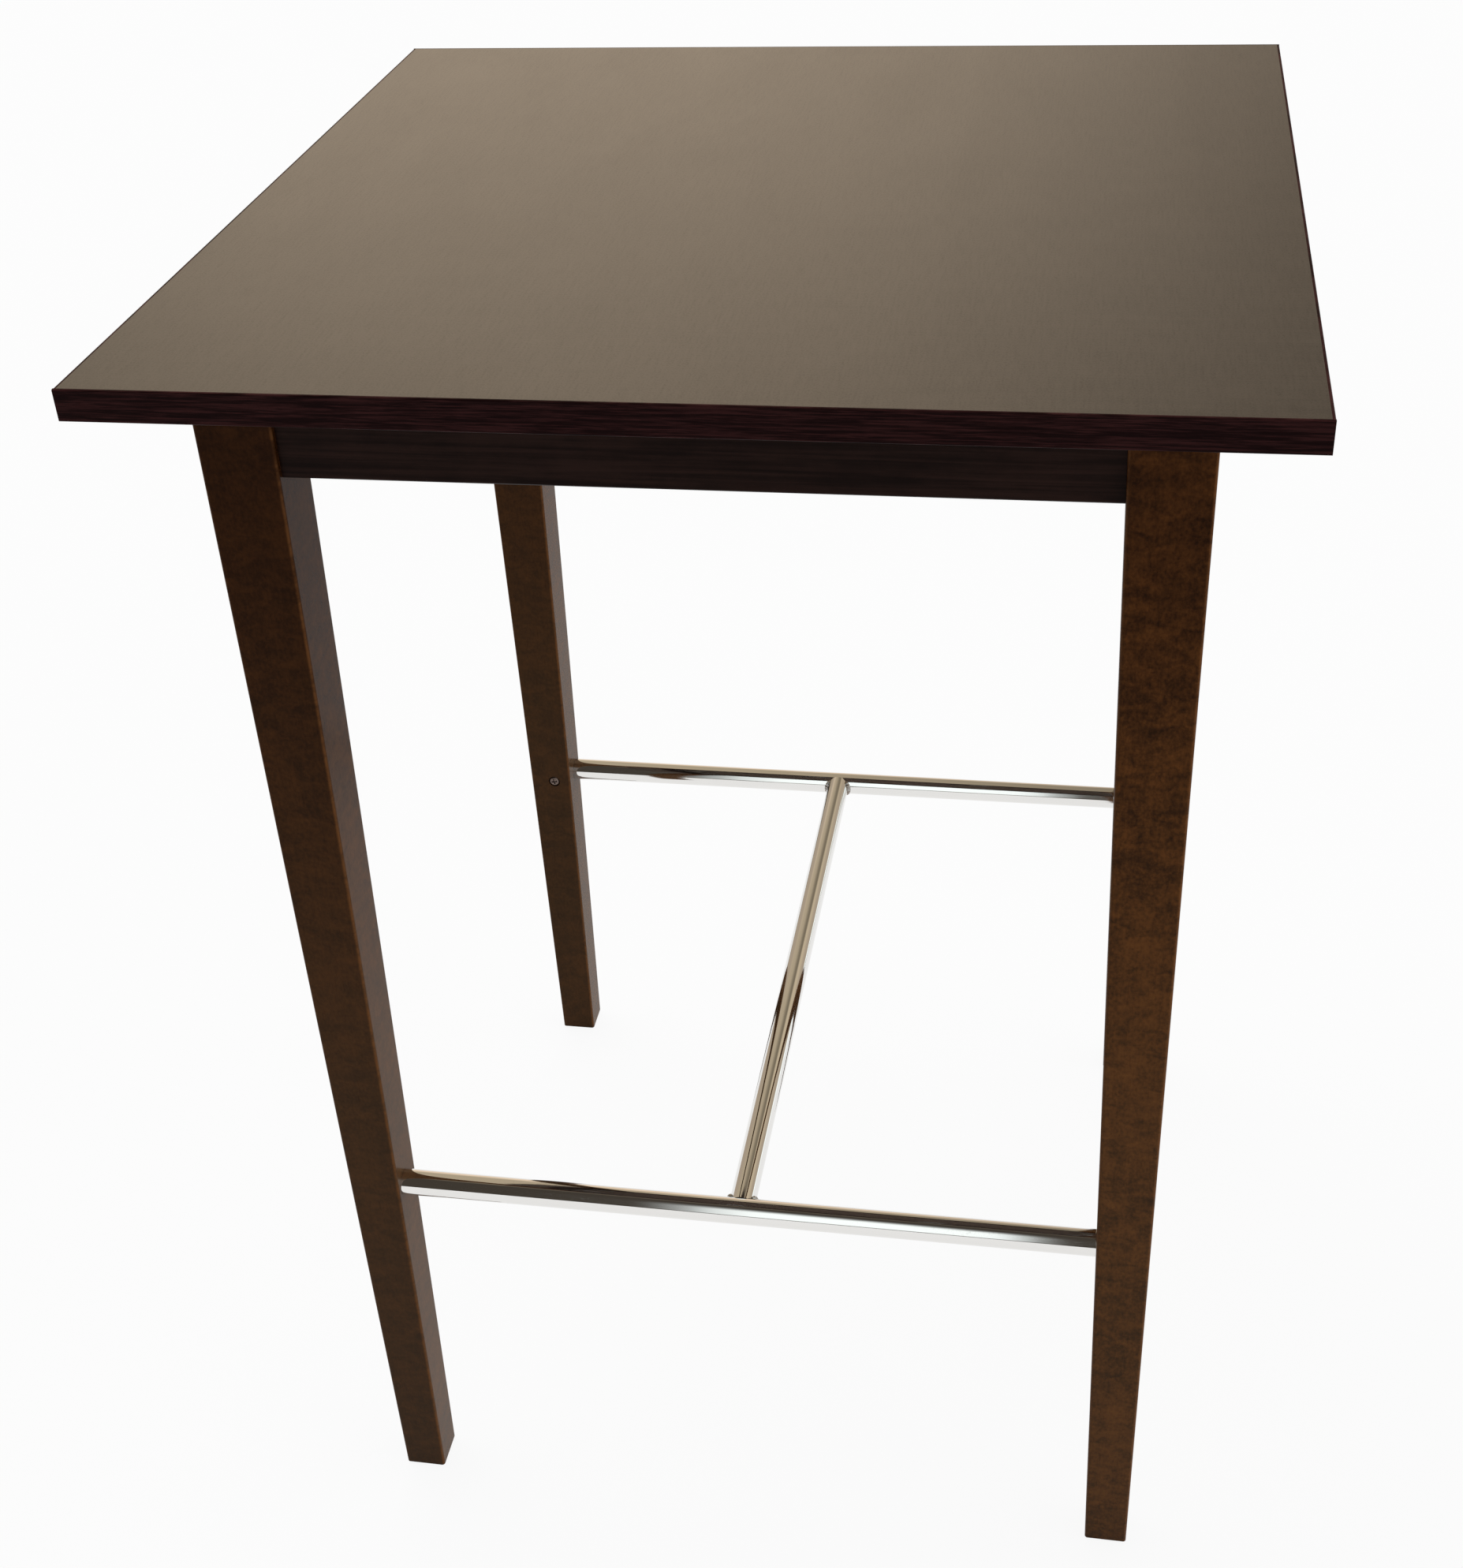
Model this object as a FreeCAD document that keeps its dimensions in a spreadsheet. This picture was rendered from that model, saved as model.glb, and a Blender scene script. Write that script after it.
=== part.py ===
"""A pub table: laminate top, apron frame, four tapered legs and a chromed H footrest.

Millimetres, +Z up. The origin is on the floor under the middle of the top.
The front is towards -Y, and left and right are those of someone facing the front.
"""
import FreeCAD, Part
import os
import re
import Sketcher

Vector = FreeCAD.Vector
Rotation = FreeCAD.Rotation

# Driving dimensions: alias, value and what it is
SIZES = (
    ("top_side", 750, "side of the square top"),
    ("table_height", 1060, "floor to the top surface"),
    ("laminate_thick", 0.8, "laminate sheet on the top board"),
    ("core_thick", 19.4, "top board"),
    ("backing_thick", 0.8, "balancing sheet under the top board"),
    ("band_thick", 2, "edge band"),
    ("band_round", 1, "rounding of the edge band's outer edges"),
    ("overhang", 57, "top's edge to the leg's outer face"),
    ("leg_head_side", 53.5, "leg's side at the top"),
    ("leg_foot_side", 34.5, "leg's side at the foot"),
    ("leg_round", 2.5, "rounding of the leg's long edges"),
    ("apron_thick", 18, "apron board"),
    ("apron_drop", 64, "apron's height"),
    ("apron_setback", 5, "leg's outer face to the apron's face"),
    ("apron_ease", 1, "easing of the apron's lower edges"),
    ("bar_diameter", 21, "footrest tube"),
    ("bar_wall", 1.5, "footrest tube's wall"),
    ("bar_level", 342, "floor to the footrest's axis"),
    ("bar_inset", 14.5, "leg's outer face to the cross bar's axis"),
    ("bar_stop", 12, "leg's outer face to the bottom of the bar's socket"),
    ("socket_gap", 0.1, "room round the bar in its socket and at the cope"),
    ("cope_stop", 5, "cross bar's axis to the centre bar's square end"),
    ("weld_leg", 2.4, "size of the weld bead"),
    ("weld_tall", 15, "height of a weld bead at the centre bar's side"),
    ("lock_place", 23.8, "leg's outer face to the lock screw's axis"),
    ("lock_diameter", 4.2, "lock screw's shank"),
    ("lock_reach", 3, "lock screw's tip past the inside of the bar's wall"),
    ("lock_head_diameter", 10, "lock screw's head"),
    ("lock_head_thick", 2.6, "lock screw's head, over its seat"),
    ("lock_seat_depth", 2.2, "depth of the counterbore, at the bar's level"),
    ("lock_seat_diameter", 12, "counterbore for the lock screw's head"),
    ("plate_thick", 2, "corner bracket's sheet"),
    ("plate_tall", 40, "corner bracket's height"),
    ("plate_bend", 1.5, "inner radius of the bracket's bends"),
    ("flange_long", 26, "corner bracket's flange along the apron"),
    ("hook_deep", 6, "bracket's hook in the apron's kerf"),
    ("kerf_gap", 0.2, "room round the hook in the kerf"),
    ("leg_flat", 12, "cut off the leg's inner corner, along each face"),
    ("draw_gap", 6, "room between the leg's flat and the bracket"),
    ("bolt_diameter", 8, "hanger bolt"),
    ("bolt_room", 0.5, "room round the hanger bolt in the bracket"),
    ("bolt_bury", 32, "hanger bolt in the leg"),
    ("bolt_proud", 5, "hanger bolt past the nut"),
    ("nut_rim_diameter", 18, "flange of the hanger bolt's nut"),
    ("nut_rim_thick", 1.6, "flange of the hanger bolt's nut"),
    ("nut_flats", 13, "hanger bolt's nut across the flats"),
    ("nut_thick", 6.5, "hanger bolt's nut, over its flange"),
    ("slot_long", 6.5, "screw slots of the brackets and clips"),
    ("slot_wide", 4.5, "screw slots of the brackets and clips"),
    ("slot_pitch", 22, "between the two slots of a flange"),
    ("clip_wide", 24, "angle clip along the apron"),
    ("clip_leg", 22, "each leg of the angle clip"),
    ("clip_slot", 13, "angle clip's slots from its back"),
    ("clip_place", 110, "angle clips from the apron's middle"),
    ("hole_gap", 0.05, "room round a lock screw or hanger bolt in the wood"),
    ("glide_diameter", 24, "foot glide"),
    ("glide_thick", 3, "foot glide"),
)

# Sizes worked out from the driving dimensions: alias and formula
WORKED = (
    ("under_top", "table_height - laminate_thick - core_thick - backing_thick"),
    ("core_side", "top_side - 2 * band_thick"),
    ("band_tall", "table_height - under_top"),
    ("leg_corner", "top_side / 2 - overhang"),
    ("leg_long", "under_top - glide_thick"),
    ("leg_taper", "(leg_head_side - leg_foot_side) / leg_long"),
    ("apron_back", "apron_setback + apron_thick"),
    ("apron_half_head", "leg_corner - leg_head_side"),
    ("apron_half_foot", "apron_half_head + leg_taper * apron_drop"),
    ("bolt_level", "under_top - apron_drop / 2"),
    ("bar_radius", "bar_diameter / 2"),
    ("bar_line", "leg_corner - bar_inset"),
    ("bar_half", "leg_corner - bar_stop"),
    ("lock_line", "leg_corner - lock_place"),
    ("leg_side_at_bar", "leg_foot_side + leg_taper * (bar_level - glide_thick)"),
    ("lock_seat", "leg_side_at_bar - lock_seat_depth"),
    ("lock_tip", "bar_inset + bar_radius - bar_wall - lock_reach"),
    ("flat_reach", "(2 * leg_head_side - leg_flat) / sqrt(2)"),
    ("plate_reach", "flat_reach + draw_gap"),
    ("plate_half", "plate_reach - sqrt(2) * apron_back"),
    ("nut_seat", "plate_thick + nut_rim_thick"),
    ("flange_middle", "(flange_long - plate_thick) / 2"),
    ("apron_inner", "leg_corner - apron_back"),
    ("kerf_place", "apron_inner - sqrt(2) * plate_half - flange_long + plate_thick"),
)

SHEET = "Sizes"
CORNERS = ("front_left", "front_right", "back_right", "back_left")
CORNER_SIGNS = ((-1, -1), (1, -1), (1, 1), (-1, 1))
SIDES = ("front", "right", "back", "left")
ROOT_HALF = "sqrt(2) / 2"
EASED_BY = {"Fillet": "Radius", "Chamfer": "Size"}
# Millimetres within which two coordinates are the same, and the least volume that a cut takes away
CLOSE = 0.01
LEAST_CUT = 1e-6

doc = FreeCAD.newDocument("pub_table")
subparts = []


def fill_sheet():
    """Writes the driving dimensions and the worked-out sizes into the document's spreadsheet."""
    sheet = doc.addObject("Spreadsheet::Sheet", SHEET)
    for row, (alias, value, meaning) in enumerate(SIZES, start=1):
        sheet.set(f"A{row}", meaning)
        sheet.set(f"B{row}", str(value))
        sheet.setAlias(f"B{row}", alias)
    for row, (alias, formula) in enumerate(WORKED, start=len(SIZES) + 1):
        sheet.set(f"A{row}", "worked out: " + alias.replace("_", " "))
        sheet.set(f"B{row}", "=" + formula)
        sheet.setAlias(f"B{row}", alias)
    doc.recompute()
    return sheet


sheet = fill_sheet()
ALIASES = {row[0] for row in SIZES + WORKED}


def bound(formula):
    """Writes a formula on the sheet's aliases as an expression of another object."""
    def with_sheet(word):
        return f"{SHEET}.{word[0]}" if word[0] in ALIASES else word[0]

    return re.sub(r"[a-z_]+", with_sheet, formula)


def bind(thing, **formulas):
    """Binds properties to formulas. A double underscore stands for the dot in a property's path."""
    for path, formula in formulas.items():
        thing.setExpression(path.replace("__", "."), bound(formula))


def new_body(label):
    """Starts a sub-part with its own label."""
    body = doc.addObject("PartDesign::Body", label)
    body.Label = label
    subparts.append(body)
    return body


def origin_feature(body, role):
    """The body's own origin plane or axis with that role."""
    return next(item for item in body.Origin.OriginFeatures if item.Role == role)


def place(thing, x="0", y="0", z="0", rotation=Rotation()):
    """Sets a rotation and binds the three coordinates of the place."""
    thing.Placement = FreeCAD.Placement(Vector(), rotation)
    bind(thing, Placement__Base__x=x, Placement__Base__y=y, Placement__Base__z=z)


def turned(quarter):
    """A rotation by quarter turns about the table's vertical axis."""
    return Rotation(Vector(0, 0, 1), 90 * quarter)


def aimed(x, y, z):
    """A rotation that turns a cylinder's +Z axis to a direction."""
    return Rotation(Vector(0, 0, 1), Vector(x, y, z))


def sketch_on(body, name, role="XY_Plane", lift="0"):
    """An empty sketch on one of the body's origin planes, lifted along the plane's normal."""
    sketch = body.newObject("Sketcher::SketchObject", name)
    sketch.AttachmentSupport = (origin_feature(body, role), [""])
    sketch.MapMode = "FlatFace"
    bind(sketch, AttachmentOffset__Base__z=lift)
    return sketch


def pin_point(sketch, geometry, position, x, y):
    """Dimensions a point from the sketch's origin."""
    start = 1.0 + geometry
    for kind, formula in (("DistanceX", x), ("DistanceY", y)):
        number = sketch.addConstraint(Sketcher.Constraint(kind, -1, 1, geometry, position, start))
        name = f"{kind}_{geometry}_{position}"
        sketch.renameConstraint(number, name)
        sketch.setExpression(f"Constraints.{name}", bound(formula))


def draw_outline(sketch, points):
    """A closed outline of straight lines whose corners are all dimensioned from the origin."""
    count = len(points)
    first = sketch.GeometryCount
    for index in range(count):
        start = Vector(index, index * index, 0)
        end = Vector(index + 1, (index + 1) ** 2, 0)
        sketch.addGeometry(Part.LineSegment(start, end))
    for index in range(count):
        following = first + (index + 1) % count
        sketch.addConstraint(Sketcher.Constraint("Coincident", first + index, 2, following, 1))
    for index, (x, y) in enumerate(points):
        pin_point(sketch, first + index, 1, x, y)


def draw_rectangle(sketch, left, right, low, high):
    """A rectangle by its four dimensioned sides."""
    draw_outline(sketch, ((left, low), (right, low), (right, high), (left, high)))


def draw_circle(sketch, diameter, x="0", y="0"):
    """A circle with a dimensioned centre and diameter."""
    number = sketch.addGeometry(Part.Circle(Vector(), Vector(0, 0, 1), 1.0))
    constraint = sketch.addConstraint(Sketcher.Constraint("Diameter", number, 2.0))
    sketch.renameConstraint(constraint, f"Diameter_{number}")
    sketch.setExpression(f"Constraints.Diameter_{number}", bound(diameter))
    pin_point(sketch, number, 3, x, y)


def pad(body, sketch, length, midplane=False):
    """Raises a sketch into a solid along the sketch's normal."""
    feature = body.newObject("PartDesign::Pad", sketch.Name + "_pad")
    feature.Profile = sketch
    feature.Midplane = midplane
    bind(feature, Length=length)
    doc.recompute()


def take_away(body, feature):
    """Recomputes after a cut and makes sure that it removed something."""
    before = feature.BaseFeature.Shape.Volume
    doc.recompute()
    if feature.Shape.Volume >= before - LEAST_CUT:
        raise RuntimeError(f"{body.Label}: {feature.Name} cuts nothing")


def bore(body, name, diameter, depth, x, y, z, direction):
    """A round hole from a point, running in a direction."""
    hole = body.newObject("PartDesign::SubtractiveCylinder", name)
    place(hole, x, y, z, aimed(*direction))
    bind(hole, Radius=f"( {diameter} ) / 2", Height=depth)
    take_away(body, hole)


def cut_box(body, name, long, wide, tall, x, y, z, rotation=Rotation()):
    """A square-cornered cut from its first corner, along its own three axes."""
    box = body.newObject("PartDesign::SubtractiveBox", name)
    place(box, x, y, z, rotation)
    bind(box, Length=long, Width=wide, Height=tall)
    take_away(body, box)


def at(value, *coordinates):
    """Whether all the coordinates are at a value."""
    return all(abs(coordinate - value) < CLOSE for coordinate in coordinates)


def edges_where(feature, test):
    """Names of a feature's edges whose end points pass a test."""
    names = []
    for number, edge in enumerate(feature.Shape.Edges, start=1):
        ends = [vertex.Point for vertex in edge.Vertexes]
        if len(ends) == 2 and test(*ends):
            names.append(f"Edge{number}")
    return names


def ease_edges(body, name, size, test, kind="Fillet"):
    """Rounds, or bevels, the edges of the body's last feature that pass a test."""
    base = body.Tip
    feature = body.newObject("PartDesign::" + kind, name)
    feature.Base = (base, edges_where(base, test))
    bind(feature, **{EASED_BY[kind]: size})
    doc.recompute()


def repeat_round(body, occurrences=4):
    """Repeats the whole body about the table's vertical axis, as separate solids."""
    pattern = body.newObject("PartDesign::PolarPattern", body.Label + "_round")
    pattern.TransformMode = "Whole shape"
    pattern.Axis = (origin_feature(body, "Z_Axis"), [""])
    pattern.Angle = 360
    pattern.Occurrences = occurrences
    body.Tip = pattern
    doc.recompute()


def repeat_mirrored(body, role):
    """Repeats the whole body on the other side of one of its origin planes."""
    mirror = body.newObject("PartDesign::Mirrored", f"{body.Label}_{role}")
    mirror.TransformMode = "Whole shape"
    mirror.MirrorPlane = (origin_feature(body, role), [""])
    body.Tip = mirror
    doc.recompute()


def turned_piece(body, name, outline, rotation, x="0", y="0", z="0"):
    """A piece turned about its own axis. The outline's X is the radius, its Y runs along the axis."""
    sketch = body.newObject("Sketcher::SketchObject", name)
    place(sketch, x, y, z, rotation)
    draw_outline(sketch, outline)
    feature = body.newObject("PartDesign::Revolution", name + "_turned")
    feature.Profile = sketch
    feature.ReferenceAxis = (sketch, ["V_Axis"])
    feature.Angle = 360
    doc.recompute()


def standing(x, y):
    """Stands a sketch upright, its Y axis along a level direction."""
    axis = Vector(x, y, 0)
    return Rotation(Vector(0, 0, 1), axis, Vector(), "YXZ")


def make_sheet_layer(label, thick, low):
    """A square layer of the top."""
    body = new_body(label)
    outline = sketch_on(body, label + "_outline")
    half = "core_side / 2"
    draw_rectangle(outline, f"-{half}", half, f"-{half}", half)
    pad(body, outline, thick)
    place(body, z=low)


def make_edge_band(side):
    """One of the four edge bands. Front and back run the whole side, left and right fit between them."""
    label = "edge_band_" + SIDES[side]
    half = "top_side / 2" if side % 2 == 0 else "core_side / 2"
    body = new_body(label)
    outline = sketch_on(body, label + "_outline")
    draw_rectangle(outline, f"-{half}", half, "-top_side / 2", "-core_side / 2")
    pad(body, outline, "band_tall")
    outer = -sheet.top_side / 2
    ease_edges(body, label + "_eased", "band_round",
               lambda a, b: at(outer, a.y, b.y) and not at(a.x, b.x))
    place(body, z="under_top", rotation=turned(side))


def saw_taper(body, name, role):
    """Saws the taper off one inner face of a leg's blank, right across it."""
    sketch = sketch_on(body, name, role)
    waste = "2 * leg_head_side"
    draw_outline(sketch, (("leg_foot_side", "glide_thick"), (waste, "glide_thick"),
                          (waste, "under_top"), ("leg_head_side", "under_top")))
    cut = body.newObject("PartDesign::Pocket", name + "_cut")
    cut.Profile = sketch
    cut.Type = "ThroughAll"
    cut.Midplane = True
    take_away(body, cut)


def make_leg(corner):
    """A tapered leg, in a frame at its outer corner whose X and Y run inwards along the aprons.

    The footrest's cross bars run left to right, so its socket is in one inner face
    on the front left and back right legs, and in the other on the two legs between them.
    """
    label = "leg_" + CORNERS[corner]
    body = new_body(label)
    blank = sketch_on(body, label + "_blank", lift="glide_thick")
    draw_rectangle(blank, "0", "leg_head_side", "0", "leg_head_side")
    pad(body, blank, "leg_long")
    for role in ("XZ_Plane", "YZ_Plane"):
        saw_taper(body, f"{label}_taper_{role}", role)
    ease_edges(body, label + "_long_edges", "leg_round", lambda a, b: not at(a.z, b.z))

    def swapped(along, across, up):
        return (along, across, up) if corner % 2 == 0 else (across, along, up)

    bore(body, label + "_bar_socket", "bar_diameter + 2 * socket_gap", "leg_head_side",
         *swapped("bar_stop", "bar_inset", "bar_level"), swapped(1, 0, 0))
    bore(body, label + "_lock_hole", "lock_diameter + 2 * hole_gap", "leg_head_side",
         *swapped("lock_place", "bar_inset", "bar_level"), swapped(0, 1, 0))
    bore(body, label + "_lock_seat", "lock_seat_diameter", "leg_head_side",
         *swapped("lock_place", "lock_seat", "bar_level"), swapped(0, 1, 0))
    middle = "leg_head_side - leg_flat / 2"
    cut_box(body, label + "_bracket_flat", "2 * leg_head_side", "leg_head_side", "apron_drop",
            f"{middle} - leg_head_side * {ROOT_HALF}", f"{middle} + leg_head_side * {ROOT_HALF}",
            "under_top - apron_drop", Rotation(Vector(0, 0, 1), -45))
    start = f"( flat_reach - bolt_bury ) * {ROOT_HALF}"
    bore(body, label + "_bolt_hole", "bolt_diameter + 2 * hole_gap", "leg_head_side",
         start, start, "bolt_level", (1, 1, 0))
    x, y = CORNER_SIGNS[corner]
    place(body, f"{x} * leg_corner", f"{y} * leg_corner", "0", turned(corner))


def make_apron(side):
    """An apron board, its ends cut to the legs' taper, with the two kerfs for the brackets in its back.

    Its own X runs along it, its Y is up from its lower edge and its Z runs from its back to its face.
    """
    label = "apron_" + SIDES[side]
    body = new_body(label)
    outline = sketch_on(body, label + "_outline")
    draw_outline(outline, (("-apron_half_foot", "0"), ("apron_half_foot", "0"),
                           ("apron_half_head", "apron_drop"), ("-apron_half_head", "apron_drop")))
    pad(body, outline, "apron_thick")
    ease_edges(body, label + "_lower_edges", "apron_ease",
               lambda a, b: at(0, a.y, b.y) and not at(a.x, b.x), "Chamfer")
    for way in (-1, 1):
        middle = f"{way} * ( kerf_place - plate_thick / 2 )"
        cut_box(body, f"{label}_kerf_{way + 1}", "plate_thick + 2 * kerf_gap", "apron_drop",
                "hook_deep + kerf_gap", f"{middle} - plate_thick / 2 - kerf_gap", "0", "0")
    upright = Rotation(Vector(1, 0, 0), 90)
    x, y = (("0", "-apron_inner"), ("apron_inner", "0"), ("0", "apron_inner"), ("-apron_inner", "0"))[side]
    place(body, x, y, "under_top - apron_drop", turned(side).multiply(upright))


def make_corner_bracket(corner):
    """A pressed plate across the corner behind a leg: a web, two slotted flanges and two hooks.

    Its own Y axis points along the diagonal, away from the leg, with the web's back at zero.
    """
    label = "corner_bracket_" + CORNERS[corner]
    body = new_body(label)
    outline = sketch_on(body, label + "_outline")
    reach = f"( flange_long - plate_thick ) * {ROOT_HALF}"
    hook = f"hook_deep * {ROOT_HALF}"
    sheet_step = f"plate_thick * {ROOT_HALF}"
    right = (
        ("plate_half", "0"),
        (f"plate_half + {reach}", reach),
        (f"plate_half + {reach} + {hook}", f"{reach} - {hook}"),
        (f"plate_half + {reach} + {hook} + {sheet_step}", f"{reach} - {hook} + {sheet_step}"),
        (f"plate_half + {reach}", f"{reach} + 2 * {sheet_step}"),
        (f"plate_half + plate_thick - 2 * {sheet_step}", "plate_thick"),
    )
    left = tuple((f"-( {x} )", y) for x, y in reversed(right))
    draw_outline(outline, right + left)
    pad(body, outline, "plate_tall", midplane=True)
    half = sheet.plate_half
    thick = sheet.plate_thick
    ease_edges(body, label + "_inner_bends", "plate_bend",
               lambda a, b: not at(a.z, b.z) and at(thick, a.y))
    ease_edges(body, label + "_outer_bends", "plate_bend + plate_thick",
               lambda a, b: not at(a.z, b.z) and at(0, a.y) and at(half, abs(a.x)))
    bore(body, label + "_bolt_hole", "bolt_diameter + 2 * bolt_room", "4 * plate_thick",
         "0", "-plate_thick", "0", (0, 1, 0))
    for way in (-1, 1):
        along = f"{way} * ( flange_middle + plate_thick ) - slot_long / 2"
        across = f"flange_middle - plate_thick - {way} * slot_long / 2"
        for rise in (-1, 1):
            cut_box(body, f"{label}_slot_{way + 1}_{rise + 1}", "slot_long", "4 * plate_thick", "slot_wide",
                    f"{way} * plate_half + ( {along} ) * {ROOT_HALF}", f"( {across} ) * {ROOT_HALF}",
                    f"{rise} * slot_pitch / 2 - slot_wide / 2", Rotation(Vector(0, 0, 1), 45 * way))
    x, y = CORNER_SIGNS[corner]
    diagonal = f"leg_corner - plate_reach * {ROOT_HALF}"
    place(body, f"{x} * ( {diagonal} )", f"{y} * ( {diagonal} )", "bolt_level",
          Rotation(Vector(0, 0, 1), 90 * corner - 45))


def make_bolt_sets():
    """The four hanger bolts with their flange nuts, each on a corner's diagonal."""
    outwards = f"( leg_corner - plate_reach * {ROOT_HALF} )"
    lying = standing(1, 1)
    corner_place = {"x": f"-{outwards}", "y": f"-{outwards}", "z": "bolt_level"}
    bolts = new_body("hanger_bolts")
    radius = "bolt_diameter / 2"
    start = "-draw_gap - bolt_bury"
    end = "nut_seat + nut_thick + bolt_proud"
    turned_piece(bolts, "hanger_bolt",
                 (("0", start), (radius, start), (radius, end), ("0", end)), lying, **corner_place)
    repeat_round(bolts)
    nuts = new_body("hanger_nuts")
    hole = "bolt_diameter + 2 * hole_gap"
    rim = nuts.newObject("Sketcher::SketchObject", "hanger_nut_rim")
    on_plate = f"-{outwards} + plate_thick * {ROOT_HALF}"
    place(rim, on_plate, on_plate, "bolt_level", aimed(1, 1, 0))
    draw_circle(rim, "nut_rim_diameter")
    draw_circle(rim, hole)
    pad(nuts, rim, "nut_rim_thick")
    sketch = nuts.newObject("Sketcher::SketchObject", "hanger_nut")
    on_rim = f"-{outwards} + nut_seat * {ROOT_HALF}"
    place(sketch, on_rim, on_rim, "bolt_level", aimed(1, 1, 0))
    across = "nut_flats / 2"
    point = "nut_flats / sqrt(3)"
    upper = ((point, "0"), (f"{point} / 2", across), (f"-{point} / 2", across))
    lower = tuple((f"-( {x} )", f"-( {y} )") for x, y in upper)
    draw_outline(sketch, upper + lower)
    draw_circle(sketch, hole)
    pad(nuts, sketch, "nut_thick")
    repeat_round(nuts)


def make_clips():
    """The slotted angle clips that hold the top, two to an apron."""
    clips = new_body("top_clips")
    profile = clips.newObject("Sketcher::SketchObject", "clip_profile")
    place(profile, "clip_place - clip_wide / 2", "-apron_inner", "under_top",
          Rotation(Vector(0, 1, 0), Vector(0, 0, 1), Vector(1, 0, 0), "XYZ"))
    side_leg = (("0", "0"), ("0", "-clip_leg"), ("plate_thick", "-clip_leg"))
    top_leg = (("plate_thick", "-plate_thick"), ("clip_leg", "-plate_thick"), ("clip_leg", "0"))
    draw_outline(profile, side_leg + top_leg)
    pad(clips, profile, "clip_wide")
    slot_left = "clip_place - slot_wide / 2"
    cut_box(clips, "clip_side_slot", "slot_wide", "4 * plate_thick", "slot_long", slot_left,
            "-apron_inner - plate_thick", "under_top - clip_slot - slot_long / 2")
    cut_box(clips, "clip_top_slot", "slot_wide", "slot_long", "4 * plate_thick", slot_left,
            "-apron_inner + clip_slot - slot_long / 2", "under_top - 2 * plate_thick")
    repeat_mirrored(clips, "YZ_Plane")
    repeat_round(clips)


def make_cross_bar(label, side):
    """A cross bar of the footrest, from socket to socket, drilled for the two lock screws."""
    body = new_body(label)
    section = sketch_on(body, label + "_section", "YZ_Plane")
    draw_circle(section, "bar_diameter", y="bar_level")
    draw_circle(section, "bar_diameter - 2 * bar_wall", y="bar_level")
    pad(body, section, "2 * bar_half", midplane=True)
    for way in (-1, 1):
        bore(body, f"{label}_lock_hole_{way + 1}", "lock_diameter + 2 * hole_gap", "bar_diameter",
             f"{way} * lock_line", "0", "bar_level", (0, -side, 0))
    place(body, y=f"{side} * bar_line")


def make_centre_bar():
    """The centre bar of the footrest, cut square at both ends and coped to the cross bars."""
    label = "footrest_centre_bar"
    body = new_body(label)
    section = sketch_on(body, label + "_section", "XZ_Plane")
    draw_circle(section, "bar_diameter", y="bar_level")
    draw_circle(section, "bar_diameter - 2 * bar_wall", y="bar_level")
    pad(body, section, "2 * ( bar_line - cope_stop )", midplane=True)
    for way in (-1, 1):
        bore(body, f"{label}_cope_{way + 1}", "bar_diameter + 2 * socket_gap", "4 * bar_diameter",
             "-2 * bar_diameter", f"{way} * bar_line", "bar_level", (1, 0, 0))


def tube_solid(name, diameter, long, x, y, direction):
    """A round solid at the footrest's level, used to shape the welds."""
    solid = doc.addObject("Part::Cylinder", name)
    place(solid, x, y, "bar_level", aimed(*direction))
    bind(solid, Radius=f"( {diameter} ) / 2", Height=long)
    return solid


def make_welds():
    """The weld beads at both sides of the centre bar, in its corners with the two cross bars."""
    beads = []
    fat = "bar_diameter + 2 * weld_leg"
    reach = "bar_radius + 2 * weld_leg"
    for name, side in (("front", -1), ("back", 1)):
        line = f"{side} * bar_line"
        cross = ("-bar_diameter", line, (1, 0, 0))
        along = ("0", line, (0, -side, 0))
        corner = doc.addObject("Part::Common", f"weld_corner_{name}")
        corner.Base = tube_solid(f"weld_over_cross_{name}", fat, "2 * bar_diameter", *cross)
        corner.Tool = tube_solid(f"weld_over_centre_{name}", fat, reach, *along)
        slab = doc.addObject("Part::Box", f"weld_slab_{name}")
        place(slab, "-bar_diameter", f"{line} - bar_diameter", "bar_level - weld_tall / 2")
        bind(slab, Length="2 * bar_diameter", Width="2 * bar_diameter", Height="weld_tall")
        sides = doc.addObject("Part::Common", f"weld_sides_{name}")
        sides.Base = corner
        sides.Tool = slab
        off_cross = doc.addObject("Part::Cut", f"weld_off_cross_{name}")
        off_cross.Base = sides
        off_cross.Tool = tube_solid(f"weld_cross_{name}", "bar_diameter", "2 * bar_diameter", *cross)
        bead = doc.addObject("Part::Cut", f"weld_bead_{name}")
        bead.Base = off_cross
        bead.Tool = tube_solid(f"weld_centre_{name}", "bar_diameter", reach, *along)
        beads.append(bead)
    welds = doc.addObject("Part::Compound", "footrest_welds")
    welds.Label = "footrest_welds"
    welds.Links = beads
    doc.recompute()
    subparts.append(welds)


def make_lock_screws():
    """The four screws that lock the cross bars in the legs, driven from the legs' inner faces."""
    body = new_body("footrest_lock_screws")
    shank = "lock_diameter / 2"
    head = "lock_head_diameter / 2"
    tip = "lock_tip - lock_seat"
    outline = (("0", tip), (shank, tip), (shank, "0"), (head, "0"),
               (head, "lock_head_thick"), ("0", "lock_head_thick"))
    turned_piece(body, "lock_screw", outline, standing(0, 1),
                 "lock_line", "-leg_corner + lock_seat", "bar_level")
    repeat_mirrored(body, "YZ_Plane")
    repeat_mirrored(body, "XZ_Plane")


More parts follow.
